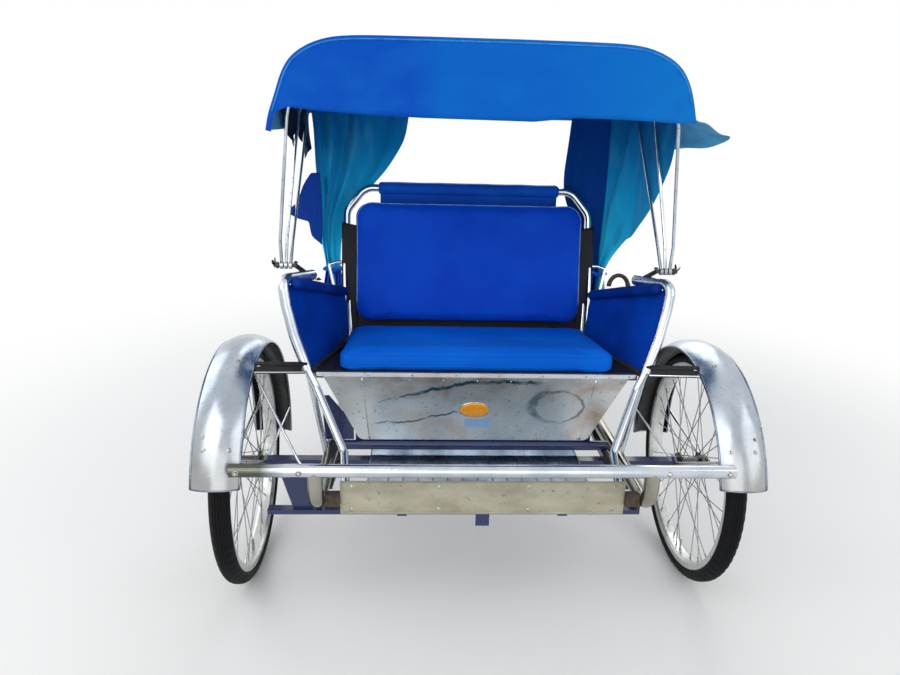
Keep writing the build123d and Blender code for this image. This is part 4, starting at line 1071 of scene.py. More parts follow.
# Padded pieces, swollen by a cloth simulation and held near the drawing's size
def plump(piece, cap_mm, voxel_mm=6.0):
    """Swells a closed pad under its own pressure, no point further than cap_mm, then smooths it."""
    settle(piece, "REMESH", mode="VOXEL", voxel_size=voxel_mm / 1000.0)
    rest = np.array([v.co for v in piece.data.vertices])
    modifier = piece.modifiers.new("swelling", "CLOTH")
    modifier.settings.quality = 5
    modifier.settings.mass = 0.3
    modifier.settings.tension_stiffness = 18
    modifier.settings.compression_stiffness = 18
    modifier.settings.bending_stiffness = 0.6
    modifier.settings.use_pressure = True
    modifier.settings.uniform_pressure_force = 4.0
    modifier.settings.effector_weights.gravity = 0.0
    modifier.collision_settings.use_collision = False
    for number in range(1, 21):
        scene.frame_set(number)
    evaluated = piece.evaluated_get(bpy.context.evaluated_depsgraph_get())
    moved = np.array([v.co for v in evaluated.data.vertices])
    piece.modifiers.clear()
    scene.frame_set(1)
    step = moved - rest
    length = np.linalg.norm(step, axis=1)[:, None] + 1e-9
    limit = cap_mm / 1000.0
    moved = rest + step / length * limit * np.tanh(length / limit)
    piece.data.vertices.foreach_set("co", moved.ravel())
    piece.data.update()
    settle(piece, "SUBSURF", levels=1)
    piece.data.polygons.foreach_set("use_smooth", [True] * len(piece.data.polygons))
    return piece


def rounded_pad(name, half_x, low_v, high_v, thick, corner, round_mm, material, place):
    """A pad with rounded plan corners and rounded edges, its points carried by place(u, v, w)."""
    outline = []
    for cu, cv, first in (
        (half_x - corner, high_v - corner, 0),
        (-half_x + corner, high_v - corner, 90),
        (-half_x + corner, low_v + corner, 180),
        (half_x - corner, low_v + corner, 270),
    ):
        for k in range(9):
            a = math.radians(first + k * 90 / 8)
            outline.append((cu + corner * math.cos(a), cv + corner * math.sin(a)))
    outline = np.array(outline)
    middle = np.array([0.0, (low_v + high_v) / 2])
    rings = []
    for k in range(5):
        a = k / 4 * math.pi / 2
        rings.append((round_mm * (1 - math.sin(a)), round_mm * (1 - math.cos(a))))
    levels = rings + [(inset, thick - depth) for inset, depth in rings[::-1]]
    points = []
    for inset, w in levels:
        half = np.array([half_x, (high_v - low_v) / 2])
        scale = (half - inset) / half
        for u, v in (outline - middle) * scale + middle:
            points.append(place(u, v, w))
    piece = made(name, points, capped_faces(len(levels), len(outline)), material, soft=True)
    face_outwards(piece)
    return piece


def laid_on(pad, line):
    """The points of a line, each moved to the nearest place on a pad."""
    nearest = BVHTree.FromObject(pad, bpy.context.evaluated_depsgraph_get())
    laid = []
    for p in line:
        hit = nearest.find_nearest(at(*p))[0]
        laid.append((hit.x * 1000, hit.y * 1000 - AXLE_Y, hit.z * 1000))
    return laid


def both_sides(half):
    """A line given on one side, from its end to the middle, and mirrored to the other side."""
    return half + [(-u, v) for u, v in half[-2::-1]]


SEAT_SLOPE = 0.118
SEAT_FRONT_Y = -50.0
SEAT_FRONT_Z = 638.0


def on_seat(u, v, w):
    """A cushion point: u across, v back along the board, w up from it."""
    return (u, v, SEAT_FRONT_Z - (v - SEAT_FRONT_Y) * SEAT_SLOPE + w)


cushion = rounded_pad(
    "seat_cushion_pad", half_x=386, low_v=-57, high_v=337, thick=54, corner=30, round_mm=18,
    material=cushion_vinyl, place=lambda u, v, w: on_seat(u, v, w + 1.5),
)
plump(cushion, 11.0)
# its underside stays on the board
for vertex in cushion.data.vertices:
    board = SEAT_FRONT_Z - (vertex.co.y * 1000 - AXLE_Y - SEAT_FRONT_Y) * SEAT_SLOPE
    vertex.co.z = max(vertex.co.z, (board + 0.6) / 1000.0)
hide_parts("seat_cushion")
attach(cushion, "carriage")

BACK_LEAN = math.radians(12.0)
BACK_FOOT = (352.0, 655.0)


def on_back(u, v, w):
    """A backrest point: u across, v up the leaning face, w back from it."""
    y = BACK_FOOT[0] + v * math.sin(BACK_LEAN) + w * math.cos(BACK_LEAN)
    z = BACK_FOOT[1] + v * math.cos(BACK_LEAN) - w * math.sin(BACK_LEAN)
    return (u, y, z)


backrest = rounded_pad(
    "backrest_cushion_pad", half_x=373, low_v=3, high_v=396, thick=45, corner=52, round_mm=13,
    material=backrest_vinyl, place=lambda u, v, w: on_back(u, v, w + 3.5),
)
plump(backrest, 8.0)
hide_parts("backrest_pad")
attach(backrest, "carriage")

# Pale piping round the backrest's top and corners, and cords of its own vinyl round the cushion
back_rim = both_sides(
    [(-366, 20), (-367, 150), (-367, 330), (-352, 378), (-318, 391), (-160, 393), (0, 393)]
)
piping = Batch()
piping.tube(laid_on(backrest, [on_back(u, v, 12) for u, v in smooth_line(back_rim, 3)]), 2.2, 8)
back_piping = piping.finish("backrest_piping", pale_piping, "carriage", soft=True)

seat_rim = both_sides([(-386, 300), (-388, 60), (-386, -20), (-366, -52), (-200, -56), (0, -57)])
seat_piping = Batch()
# along the lower and the upper edge
for w in (9.0, 47.0):
    seat_piping.tube(laid_on(cushion, [on_seat(u, v, w) for u, v in smooth_line(seat_rim, 3)]), 1.8, 8)
seat_cord = seat_piping.finish("cushion_piping", cushion_vinyl, "carriage", soft=True)


# Wings laced between the backrest's board and the push frame's legs, black vinyl: painted shade of the dark
# gaps beside the backrest
def wing_point(u, v):
    """A point of the left wing: u from the board out to the leg, v up."""
    rise = -30 + 358 * v - 10 * (1 - u) * (v > 0.98)
    return on_back(366 + 52 * u, rise, 49.5 + 1.5 * math.sin(math.pi * u) * math.sin(v * 14.0))


for side, hand in SIDES:
    wing_grid = point_grid(wing_point, 30, 10) * (side, 1, 1)
    wing, wing_area = cloth(f"backrest_wing_{hand}", wing_grid, shade_black_vinyl, 1.5, flip=side > 0)
    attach(wing, "carriage")


def drawn_in(close, least):
    """Share of a padded roll's radius: the least at its very end, the whole where close is 1."""
    return least + (1 - least) * math.sqrt(max(0.0, 1 - (1 - close) ** 2))


# Wrapped push bar: a foam sleeve sewn up along its top, drawn in at both ends
BAR_Y, BAR_Z = 522.0, 1073.0
SLEEVE_SIDES = 28
sleeve = []
for s in np.linspace(-1, 1, 121):
    x = 300.0 * s
    swell = drawn_in(min(1.0, (1 - abs(s)) / 0.045), 0.72)
    row = []
    for a in round_angles(SLEEVE_SIDES):
        r = 21.5 * swell + 1.1 * ripple((x, 60 * math.cos(a), 60 * math.sin(a)), 60.0, 4.0)
        r -= 1.8 * math.exp(-((math.sin(a) - 1) / 0.05) ** 2)
        row.append((x, BAR_Y + r * math.cos(a), BAR_Z + r * math.sin(a)))
    sleeve.append(row)
sleeve_faces = capped_faces(len(sleeve), SLEEVE_SIDES)
push_sleeve = made("push_bar_sleeve", np.array(sleeve), sleeve_faces, sleeve_vinyl, soft=True)
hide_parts("push_bar_wrap")
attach(push_sleeve, "carriage")
sleeve_seam = Batch()
seam_line = [(x, BAR_Y - 9.5, BAR_Z + 19.4 + 0.6 * math.sin(x / 21.0)) for x in np.linspace(-288, 288, 90)]
sleeve_seam.tube(seam_line, 2.1, 8)
top_seam = sleeve_seam.finish("push_bar_sleeve_piping", pale_piping, "carriage", soft=True)


# Strip of the same vinyl that hangs from the bar's front
def skirt_point(u, v):
    """A point of the strip: u along the bar, v down."""
    x = 294 * (2 * u - 1)
    y = BAR_Y - 12 - 3 * v + 2.0 * v * math.sin(x / 37.0)
    return (x, y, BAR_Z - 17 - 42 * v - 3 * v * math.cos(x / 95.0))


skirt_grid = point_grid(skirt_point, 10, 80)
bar_skirt, skirt_area = cloth("push_bar_skirt", skirt_grid, sleeve_vinyl, 1.4, flip=True)
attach(bar_skirt, "carriage")

# Padded rolls on the arms, covered in vinyl and drawn in at their ends
ROLL_ROWS, ROLL_SIDES = 81, 24
for side, hand in SIDES:
    begin = Vector((side * 500, 16, 867))
    end = Vector((side * 403, 364, 757))
    run = (end - begin).normalized()
    out = Vector((run.y, -run.x, 0)).normalized()
    over = out.cross(run)
    if over.z < 0:
        over = -over
    rows = []
    for s in np.linspace(0, 1, ROLL_ROWS):
        swell = drawn_in(min(1.0, min(s, 1 - s) / 0.04), 0.55)
        middle = begin + (end - begin) * s
        row = []
        for a in round_angles(ROLL_SIDES):
            r = 17.0 * swell + 1.0 * ripple((s * 400, 50 * math.cos(a), 50 * math.sin(a)), 45.0, 7.0 * side)
            p = middle + out * (r * math.cos(a)) + over * (r * 0.92 * math.sin(a))
            row.append(tuple(p))
        rows.append(row)
    roll_faces = capped_faces(ROLL_ROWS, ROLL_SIDES)
    arm_roll = made(f"arm_roll_{hand}", np.array(rows), roll_faces, roll_vinyl, soft=True)
    face_outwards(arm_roll)
    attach(arm_roll, "carriage")


# Tyres: moulded tread with centre ribs and shoulder blocks
def tyre(name, node, body, x_middle, y_middle):
    """Tyre with its tread cut as rows of points round the axle."""
    # x from the middle, radius, depth of the shoulder cuts there
    half = [
        (0.0, 335.0, 0.0), (2.2, 335.0, 0.0), (3.0, 333.4, 0.0), (4.6, 333.4, 0.0), (5.4, 334.9, 0.0),
        (8.6, 334.5, 0.0), (9.4, 332.8, 0.0), (11.0, 332.6, 0.0), (11.8, 333.8, 1.5), (16.0, 331.6, 2.2),
        (20.0, 328.2, 2.2), (23.4, 323.6, 1.6), (25.6, 318.6, 0.0), (26.8, 313.6, 0.0),
        (26.2, 309.6, 0.0), (24.2, 306.2, 0.0), (21.4, 303.6, 0.0), (19.2, 302.8, 0.0),
    ]
    profile = [(-x, r, d) for x, r, d in half[:0:-1]] + half
    steps = 288
    points = []
    for k, a in enumerate(round_angles(steps)):
        for x, r, cut in profile:
            # a block and a gap by turns, two steps each, the two shoulders out of step
            shift = 1 if x > 0 else 0
            out = r - (cut if (k // 2 + shift) % 2 else 0.0)
            points.append((x_middle + x, y_middle + out * math.cos(a), WHEEL_R + out * math.sin(a)))
    columns = len(profile)
    faces = []
    for k in range(steps):
        d = (k + 1) % steps
        for c in range(columns - 1):
            faces.append((k * columns + c, d * columns + c, d * columns + c + 1, k * columns + c + 1))
    piece = made(name, points, faces, tyre_black, edge_deg=50)
    face_outwards(piece)
    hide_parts(node)
    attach(piece, body)


SPOKES = 36
# side shift of each spoke at the rim, as the spokes are laced
spoke_shifts = [7.0, 3.0, -7.0, -3.0]
# radius and way in from the rim, for a spoke nipple and for the valve with its cap
nipple_profile = [(3.0, 0.0), (2.9, 3.0), (2.2, 4.5), (2.0, 14.0), (1.6, 15.5)]
valve_profile = [(4.6, 0.0), (4.4, 3.0), (3.0, 4.0), (3.0, 24.0), (4.0, 25.0), (4.0, 36.0), (2.4, 37.5)]


def wheel_fittings(body, x_middle, y_middle):
    """Spoke nipples round the rim and the tyre's valve."""
    nipples = Batch()
    places = [(n * 360.0 / SPOKES, spoke_shifts[n % 4], 284.0, nipple_profile, 6) for n in range(SPOKES)]
    for degrees, shift, radius, profile, sides in places + [(265.0, 0.0, 283.0, valve_profile, 12)]:
        a = math.radians(degrees)
        outward = Vector((0, math.cos(a), math.sin(a)))
        foot = Vector((x_middle + shift, y_middle, WHEEL_R)) + outward * radius
        nipples.turned(foot, -outward, profile, sides)
    piece = nipples.finish(f"{body}_nipples_and_valve", zinc_bolt, body)


wheel_rows = [
    ("front_wheel_left", "front_tyre_left", TRACK_HALF, 0.0),
    ("front_wheel_right", "front_tyre_right", -TRACK_HALF, 0.0),
    ("rear_wheel", "rear_tyre", 0.0, WHEELBASE),
]
for body, tyre_node, x_middle, y_middle in wheel_rows:
    tyre(tyre_node + "_tread", tyre_node, body, x_middle, y_middle)
    wheel_fittings(body, x_middle, y_middle)


# Mudguards: rolled edges, end beads, bolts
def around(radius, elevation_deg, x, y_middle=0.0):
    """A point round a wheel's axle, its elevation counted up from the rear."""
    a = math.radians(elevation_deg)
    return (x, y_middle + radius * math.cos(a), WHEEL_R + radius * math.sin(a))


# radius of a guard's edges round the axle, half its width, and how far its middle bulges beyond them
GUARD_R, GUARD_HALF, GUARD_BULGE = 350.0, 58.4, 21.0


def guard_trim(name, body, x_middle, y_middle, first_deg, last_deg):
    """Rolled wire edges along a mudguard and across both of its ends."""
    trim = Batch()
    for x in (-GUARD_HALF, GUARD_HALF):
        line = [around(GUARD_R, e, x_middle + x, y_middle) for e in np.linspace(first_deg, last_deg, 70)]
        trim.tube(line, 3.0, 8)
    for e in (first_deg, last_deg):
        line = []
        for share in np.linspace(-1, 1, 17):
            radius = GUARD_R + GUARD_BULGE * (1 - share ** 2)
            line.append(around(radius, e, x_middle + GUARD_HALF * share, y_middle))
        trim.tube(line, 2.6, 8)
    piece = trim.finish(name, guard_wire, body, soft=True)


# the bolts sit on the sheet's outer face: its half width and bulge, and each bolt's elevation and x from
# the guard's middle
FACE_HALF, FACE_BULGE = 59.0, 22.0
guard_bolt_places = [
    (148.0, -34.0), (148.0, 26.0), (143.0, 30.0), (108.0, -20.0), (60.0, 0.0), (4.0, -30.0), (4.0, 30.0),
]
guard_bolts = Batch()
for side, hand in SIDES:
    guard_trim(f"mudguard_edge_{hand}", "carriage", side * TRACK_HALF, 0.0, -10.0, 163.0)
    for elevation, x in guard_bolt_places:
        radius = GUARD_R + FACE_BULGE * (1 - (x / FACE_HALF) ** 2)
        spot = around(radius, elevation, side * TRACK_HALF + side * x)
        outward = Vector(spot) - Vector((spot[0], 0, WHEEL_R))
        lean = Vector((side * x / FACE_HALF * 0.75, 0, 0)) * outward.length
        guard_bolts.bolt(spot, outward + lean, 4.2)
guard_bolts.finish("mudguard_bolts", zinc_bolt, "carriage")
guard_trim("rear_mudguard_edge", "rider_frame", 0.0, WHEELBASE, -35.0, 160.0)

# Pale wires that stiffen the black straps between guards and arms
for side, hand in SIDES:
    wires = Batch()
    near = Vector((side * 595, -110, 667))
    far = Vector((side * 468, -66, 652))
    width = Vector((0, 1, 0.35)).normalized()
    for shift in (-18.0, 18.0):
        wires.tube([near + width * shift, far + width * shift], 2.2, 8)
    wires.bolt(near + Vector((-side * 14, 0, 5)), (0, 0.3, 1), 4.5)
    wires.bolt(far + Vector((side * 18, 0, 5)), (0, 0.3, 1), 4.5)
    piece = wires.finish(f"guard_strap_wires_{hand}", plated_tube, "carriage")


# Apron: seams of its sheet, rivets, oval reflector and a blank label
APRON_LOW = Vector((0, -16.0, 418.0))
APRON_UP = Vector((0, -37.5, 212.0)).normalized()
APRON_OUT = Vector((1, 0, 0)).cross(APRON_UP)


def on_apron(x, rise, proud=0.0):
    """A point on the apron's front face: x across, rise up the sheet, proud of it."""
    return APRON_LOW + Vector((x, 0, 0)) + APRON_UP * rise + APRON_OUT * (2.0 + proud)


seams = Batch()
# x of each seam at its foot and at its head
for foot_x, head_x in ((-300, -318), (306, 330)):
    line = [on_apron(foot_x + (head_x - foot_x) * t, 3 + 202 * t, -0.4) for t in np.linspace(0, 1, 20)]
    seams.tube(line, 1.5, 8, squash=(1.0, 2.2))
ridge = seams.finish("apron_sheet_seams", apron_sheet, "carriage", soft=True)
apron_rivets = Batch()
for x in np.linspace(-372, 372, 9):
    apron_rivets.rivet(on_apron(x, 198), APRON_OUT, 2.8)
for x in np.linspace(-300, 300, 6):
    apron_rivets.rivet(on_apron(x, 7), APRON_OUT, 2.4)
for x in np.linspace(-420, 420, 8):
    apron_rivets.rivet((x, -58.2, 631.0), (0, -1, 0), 2.8)
apron_rivets.finish("apron_rivets", zinc_bolt, "carriage")

OVAL_X, OVAL_RISE, OVAL_SIDES = -4, 104, 48


def on_oval(angle, half_width, half_height, proud):
    """A point round the reflector's middle on the apron."""
    return on_apron(OVAL_X + half_width * math.cos(angle), OVAL_RISE + half_height * math.sin(angle), proud)


# the lens as rings: share of its full size, and how far it stands proud
oval_rings = [(1.0, -0.2), (1.0, 2.4), (0.93, 4.0), (0.8, 4.6), (0.5, 5.4), (0.2, 5.8)]
oval = []
for scale, proud in oval_rings:
    oval += [on_oval(a, 40 * scale, 23 * scale, proud) for a in round_angles(OVAL_SIDES)]
oval_faces = grid_faces(len(oval_rings), OVAL_SIDES, True)
oval_faces.append(tuple(range(len(oval) - OVAL_SIDES, len(oval))))
emblem = made("oval_reflector", oval, oval_faces, amber_lens, edge_deg=50)
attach(emblem, "carriage")
bezel = Batch()
bezel.tube([on_oval(a, 41, 24, 0.8) for a in round_angles(OVAL_SIDES)], 1.6, 8, closed=True)
bezel.finish("oval_reflector_bezel", zinc_bolt, "carriage", soft=True)
label = point_grid(lambda u, v: on_apron(-30 + 74 * u, 44 + 28 * v, 0.35), 8, 16)
label_piece = made("blank_label", label, grid_faces(8, 16), label_film, soft=True)
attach(label_piece, "carriage")

# Number plate: blank, with a folded rim, held to the tray by eight bolts and to the rails by blocks
PLATE_Y = -338.2
plate_rim = Batch()
corners = [(-346, 376), (-346, 458), (346, 458), (346, 376)]
outline = []
for n in range(4):
    a, b = corners[n], corners[(n + 1) % 4]
    for share in np.linspace(0, 1, 24, endpoint=False):
        outline.append((a[0] + (b[0] - a[0]) * share, PLATE_Y, a[1] + (b[1] - a[1]) * share))
plate_rim.tube(outline, 2.2, 8, closed=True)
rim_piece = plate_rim.finish("plate_rim", plate_paint, "carriage", soft=True)
plate_bolts = Batch()
for x in (-322, -110, 110, 322):
    for z in (386, 448):
        plate_bolts.bolt((x, PLATE_Y, z), (0, -1, 0), 3.6)
plate_bolts.finish("plate_bolts", zinc_bolt, "carriage")
blocks = Batch()
for side in (-1, 1):
    inner, outer = side * 351, side * 386
    corners = [(inner, -348, 398), (outer, -348, 398), (outer, -348, 430), (inner, -348, 430)]
    blocks.slab(corners, 22, (0, 1, 0))
blocks.finish("plate_end_blocks", brown_block, "carriage")

# Blue side gusset between the right rail and the seat box's nose
gusset = Batch()
corners = [(-424, -22, 420), (-344, -22, 420), (-344, -26, 470), (-410, -36, 560), (-432, -38, 560)]
gusset.slab(corners, 3, (0, 1, 0))
gusset_piece = gusset.finish("seat_corner_gusset", navy_enamel, "carriage")

# Black rubber beading that closes the arm panels' feet on the seat board, black as painted shade of the dark
# gap there
for side, hand in SIDES:
    beading = Batch()
    line = [(452, -47, 638.5), (436, 60, 627.5), (420, 165, 617), (403, 275, 604.5), (393, 360, 595)]
    line = spaced([(side * x, y, z) for x, y, z in line], 24)
    beading.tube(line, list(np.linspace(9.0, 7.0, 24)), 10)
    beading.finish(f"arm_panel_shade_beading_{hand}", grip_rubber, "carriage", soft=True)

# Bright stays at the seat's rear corners, from the board up to the push frame
for side, hand in SIDES:
    stays = Batch()
    stays.tube([(side * 394, 357, 604), (side * 405, 400, 720), (side * 410, 446, 836)], 5.5, 10)
    stays.tube([(side * 404, 360, 602), (side * 430, 392, 716), (side * 458, 428, 832)], 5.5, 10)
    stays.tube([(side * 458, 428, 832), (side * 436, 440, 838), (side * 410, 448, 836)], 5.5, 10)
    piece = stays.finish(f"seat_corner_stays_{hand}", plated_tube, "carriage")

# Brace from the right guard's strap down to the bumper, and the bumper's end bolts
brace = Batch()
brace.tube([(-592, -112, 656), (-586, -122, 646), (-444, -352, 524), (-436, -358, 516)], 3.2, 10)
brace_piece = brace.finish("guard_brace_right", plated_bow, "carriage")
bumper_bolts = Batch()
for x in (-586, -440, 440, 586):
    bumper_bolts.bolt((x, -380.5, 505), (0, -1, 0), 5.0)
bumper_bolts.finish("bumper_bolts", zinc_bolt, "carriage")

# Pressed ribs in the tray's floor
ribs = Batch()
TRAY_FLOOR_Z = 377.2
for x in range(-240, 241, 40):
    line = [(x, y, TRAY_FLOOR_Z) for y in np.linspace(-315, -40, 8)]
    ribs.tube(line, [0.6] + [2.6] * 6 + [0.6], 8, squash=(1.6, 0.7))
rib_piece = ribs.finish("tray_floor_ribs", tray_sheet, "carriage", soft=True)

# Hood pins: washers and wing nuts, and the bolts of their brackets
HOOD_PIN_Y, HOOD_PIN_Z = 60, 905
for side, hand in SIDES:
    pin = Batch()
    pin.turned((side * 553, HOOD_PIN_Y, HOOD_PIN_Z), (side, 0, 0), [(10.0, 0.0), (10.0, 1.6)], 18)
    pin.turned((side * 554, HOOD_PIN_Y, HOOD_PIN_Z), (side, 0, 0), [(7.0, 0.0), (6.0, 8.0), (4.0, 9.0)], 10)
    for way in (-1, 1):
        root = Vector((side * 559, HOOD_PIN_Y, HOOD_PIN_Z))
        wing_line = [root, root + Vector((side * 3, way * 12, 9)), root + Vector((side * 4, way * 19, 17))]
        pin.tube(wing_line, [4.0, 4.4, 2.4], 8, squash=(1.0, 0.5))
    pin.bolt((side * 455, 150, 845), (0, 0, 1), 6.0)
    pin.bolt((side * 503, 62, 912), (0, 0, 1), 5.0)
    pin.finish(f"hood_pin_nuts_{hand}", black_enamel, "carriage")

# Arched strap on the left arm's roll, where the hood's strut is lashed down
arch_strap = Batch()
arc = []
for a in np.linspace(0, math.pi, 24):
    arc.append((440 + 27 * math.cos(a), 196 - 8 * math.cos(a), 826 + 36 * math.sin(a)))
arch_strap.tube(arc, 4.5, 8, squash=(0.5, 1.7))
arch_strap.finish("arm_strap_left", brown_block, "carriage", soft=True)

# Washers and rounded thread ends of the axles
HUB_HALF, NUT_LENGTH = 46, 18
nuts = Batch()
for side in (-1, 1):
    end = side * (TRACK_HALF + HUB_HALF + NUT_LENGTH)
    nuts.turned((end - side * 13.5, 0, WHEEL_R), (side, 0, 0), [(19.0, 0.0), (19.0, 1.6)], 24)
    nuts.turned((end - side * 1.0, 0, WHEEL_R), (side, 0, 0), [(5.6, 0.0), (5.0, 1.4), (2.0, 2.0)], 14)
nuts.finish("front_axle_washers", zinc_bolt, "carriage")
rear_nuts = Batch()
for side in (-1, 1):
    rear_nuts.turned((side * 75.4, WHEELBASE, WHEEL_R), (side, 0, 0), [(17.0, 0.0), (17.0, 1.6)], 24)
rear_nuts.finish("rear_axle_washers", zinc_bolt, "rider_frame")


# Chain: link plates and rollers at the real pitch
CRANK_Y, CRANK_Z, CRANK_ARM = 960.0, 290.0, 170.0
RING_PITCH_R, SPROCKET_PITCH_R = 97.0, 44.5
LINK_PITCH = 12.7
CHAIN_X = -58.0


def chain_line():
    """The chain's closed centre line round chainring and sprocket."""
    bracket = np.array([CRANK_Y, CRANK_Z])
    rear = np.array([WHEELBASE, WHEEL_R])
    gap = rear - bracket
    base = math.atan2(gap[1], gap[0])
    lap = math.acos((RING_PITCH_R - SPROCKET_PITCH_R) / np.linalg.norm(gap))
    line = []
    for a in np.linspace(base + lap, base + 2 * math.pi - lap, 60):
        line.append(bracket + RING_PITCH_R * np.array([math.cos(a), math.sin(a)]))
    for a in np.linspace(base - lap, base + lap, 40):
        line.append(rear + SPROCKET_PITCH_R * np.array([math.cos(a), math.sin(a)]))
    line.append(line[0])
    return np.array(line)


loop = chain_line()
length = np.linalg.norm(np.diff(loop, axis=0), axis=1).sum()
# an even number, as inner and outer links take turns
link_count = 2 * int(round(length / LINK_PITCH / 2))
pins = spaced(loop, link_count + 1)[:-1]
# a side plate's outline: share of the pitch along it, and half height in mm
plate_half = [
    (-0.28, 0.0), (-0.2, 3.0), (0.05, 4.1), (0.3, 3.4), (0.5, 2.9),
    (0.7, 3.4), (0.95, 4.1), (1.2, 3.0), (1.28, 0.0),
]
plate_outline = plate_half + [(a, -h) for a, h in plate_half[-2:0:-1]]
links = Batch()
for n in range(link_count):
    y0, z0 = pins[n]
    y1, z1 = pins[(n + 1) % link_count]
    way = np.array([y1 - y0, z1 - z0])
    pitch_now = np.linalg.norm(way)
    way /= pitch_now
    across = np.array([-way[1], way[0]])
    spread = 3.9 if n % 2 else 2.8
    for side in (-1, 1):
        x = CHAIN_X + side * spread - 0.5
        corners = [(x, *(np.array([y0, z0]) + way * a * pitch_now + across * h)) for a, h in plate_outline]
        links.slab(corners, 1.0, (1, 0, 0))
    links.turned((CHAIN_X - 4.9, y0, z0), (1, 0, 0), [(1.7, 0.0), (1.7, 9.8)], 8)
    links.turned((CHAIN_X - 2.2, y0, z0), (1, 0, 0), [(3.7, 0.0), (3.7, 4.4)], 10)
chain_piece = links.finish("roller_chain", chain_steel, None)
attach(chain_piece, "rider_frame")
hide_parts("chain")

# Saddle: a hide shell on a steel frame with two coil springs
SADDLE_NOSE_Y, SADDLE_LENGTH, SADDLE_Z = 1020, 264, 1020.0
SADDLE_ROWS, SADDLE_COLUMNS = 40, 33
# at shares of its length from the nose: half width, height of the middle line, and drop of the sides
saddle_half = ([0, 0.03, 0.1, 0.4, 0.6, 0.74, 0.9, 0.97, 1.0], [9, 18, 24, 36, 68, 98, 104, 96, 84])
saddle_crown = ([0, 0.1, 0.35, 0.7, 0.9, 1.0], [-9, -2, -6, -4, 2, -3])
saddle_skirt = ([0, 0.2, 0.5, 0.8, 1.0], [30, 38, 44, 40, 30])


def saddle_point(u, v):
    """A point of the hide: u across from side to side, v back from the nose."""
    half, crown, skirt = (float(np.interp(v, *shape)) for shape in (saddle_half, saddle_crown, saddle_skirt))
    off_middle = abs(2 * u - 1)
    flat = min(1.0, off_middle / 0.72)
    down = max(0.0, (off_middle - 0.62) / 0.38)
    x = math.copysign(half * math.sin(flat * math.pi / 2) * (1 - 0.06 * down), 2 * u - 1)
    z = SADDLE_Z + crown - 7 * flat ** 2.4 - skirt * down ** 1.3
    return (x, SADDLE_NOSE_Y + SADDLE_LENGTH * v, z)


saddle_grid = point_grid(saddle_point, SADDLE_ROWS, SADDLE_COLUMNS)
saddle_faces = grid_faces(SADDLE_ROWS, SADDLE_COLUMNS)
hide = made("saddle_hide", saddle_grid, saddle_faces, saddle_leather, soft=True)
settle(hide, "SOLIDIFY", thickness=0.005, offset=1.0)
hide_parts("saddle")
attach(hide, "rider_frame")
under = Batch()
for side in (-1, 1):
    rail = [(8, 1042, 988), (20, 1100, 972), (26, 1160, 968), (60, 1240, 962), (72, 1256, 954)]
    under.tube(smooth_line([(side * x, y, z) for x, y, z in rail], 3), 3.6, 10)
    # six turns of sixteen points each
    coil = []
    for k in range(97):
        a = 2 * math.pi * k / 16
        coil.append((side * 66 + 17 * math.cos(a), 1242 + 17 * math.sin(a), 957 + k * 0.44))
    under.tube(coil, 2.4, 8)
    under.turned((side * 66, 1242, 951), (0, 0, 1), [(20, 0), (20, 3), (12, 4)], 20)
    for y in (1200, 1250):
        under.rivet((side * 78, y + 20, 1014), (side * 0.3, 0, 1), 4.5)
under.tube([(-66, 1246, 951), (0, 1232, 949), (66, 1246, 951)], 4.0, 10)
under.turned((0, 1138, 948), (0, 0, 1), [(17, 0), (19, 5), (19, 22), (14, 26)], 18)
under.finish("saddle_springs", black_enamel, "rider_frame")
hide_rivets = Batch()
for x, y, z in ((-12, 1032, 1013), (12, 1032, 1013), (0, 1274, 1020), (-34, 1274, 1017), (34, 1274, 1017)):
    hide_rivets.rivet((x, y, z), (0, 0, 1), 4.2)
hide_rivets.finish("saddle_rivets", zinc_bolt, "rider_frame")

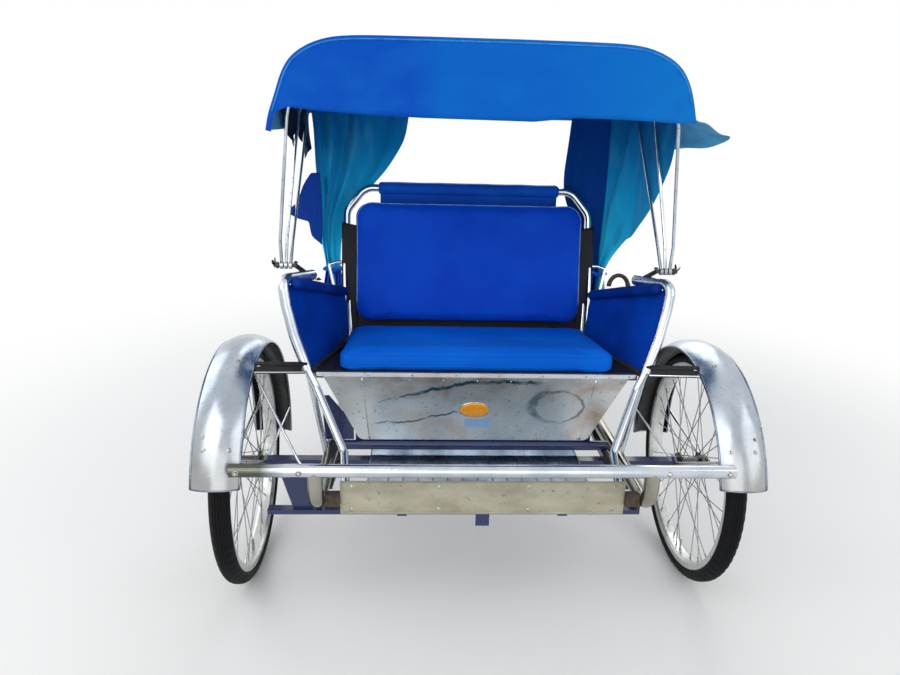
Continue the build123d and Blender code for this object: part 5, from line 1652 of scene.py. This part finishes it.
# Brake grip, pedal rubbers and rear reflector
grip = Batch()
grip_low = Vector((30, 995.4, 975))
grip_high = Vector((30, 981.2, 1046))
rings = [(12.6 if n % 2 else 11.4, n * 68.0 / 19) for n in range(20)]
grip.turned(grip_low, grip_high - grip_low, rings + [(7.0, 70.0)], 18)
grip.finish("brake_grip_sleeve", grip_rubber, "rider_frame")
for side, body in ((1, "pedal_left"), (-1, "pedal_right")):
    treads = Batch()
    tip_y = CRANK_Y - side * CRANK_ARM
    for y in (-30.0, 30.0):
        for z_way in (-1, 1):
            z = CRANK_Z + z_way * 11.8
            for n in range(7):
                x = side * (102 + n * 11.0)
                shifts = [(-3.6, -8.6), (3.6, -8.6), (3.6, 8.6), (-3.6, 8.6)]
                treads.slab([(x + dx, tip_y + y + dy, z) for dx, dy in shifts], 2.2, (0, 0, z_way))
    treads.finish(f"{body}_rubber_ribs", grip_rubber, body)
lens = Batch()
lens_deg = 8.0
place = Vector(around(372.0, lens_deg, 0.0, WHEELBASE))
outward = Vector((0, math.cos(math.radians(lens_deg)), math.sin(math.radians(lens_deg))))
lens.turned(place - outward * 1.5, outward, [(25, 0), (25, 2.5), (22, 4), (12, 4.8), (4, 5)], 28)
lens.finish("rear_reflector", red_lens, "rider_frame")

# Finishes of the CAD pieces
finished_nodes = [
    (navy_enamel, "front_axle steering_yoke seat_box tray_frame"),
    (worn_bumper, "bumper"),
    (dull_tube, "chassis_rail_left chassis_rail_right"),
    (black_enamel, "leaf_spring_left leaf_spring_right hood_bracket_left hood_bracket_right"),
    # the boards show only in the gaps beside the pads: painted black for the shade there
    (shade_black_board, "seat_board backrest_board"),
    (plated_tube, "push_frame arm_tube_left arm_tube_right saddle_post"),
    (arm_vinyl, "arm_panel_left arm_panel_right"),
    (apron_sheet, "apron"),
    (tray_sheet, "foot_tray"),
    (plate_paint, "tray_front_plate"),
    (guard_sheet, "mudguard_left mudguard_right"),
    (rear_guard_sheet, "rear_mudguard"),
    (plated_bow, "guard_stays_inner_left guard_stays_inner_right"),
    (plated_bow, "guard_stays_outer_left guard_stays_outer_right"),
    (plated_bow, "hood_bow_front hood_bow_middle hood_bow_rear hand_brake pedal_left pedal_right crank"),
    (blue_enamel, "head_tube seat_tube main_tube"),
    (blue_enamel, "chain_stay_left chain_stay_right seat_stay_left seat_stay_right"),
    (zinc_bolt, "rear_axle"),
    (chain_steel, "rear_sprocket"),
    (wheel_steel("zinc_front_wheel", 0.0), "front_wheel_left front_wheel_right"),
    (wheel_steel("zinc_rear_wheel", WHEELBASE), "rear_wheel"),
]
node_finish = {name: finish for finish, names in finished_nodes for name in names.split()}
for name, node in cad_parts.items():
    material = node_finish.get(name)
    if material is None:
        continue
    if not node.material_slots:
        node.data.materials.append(material)
    for material_slot in node.material_slots:
        material_slot.material = material
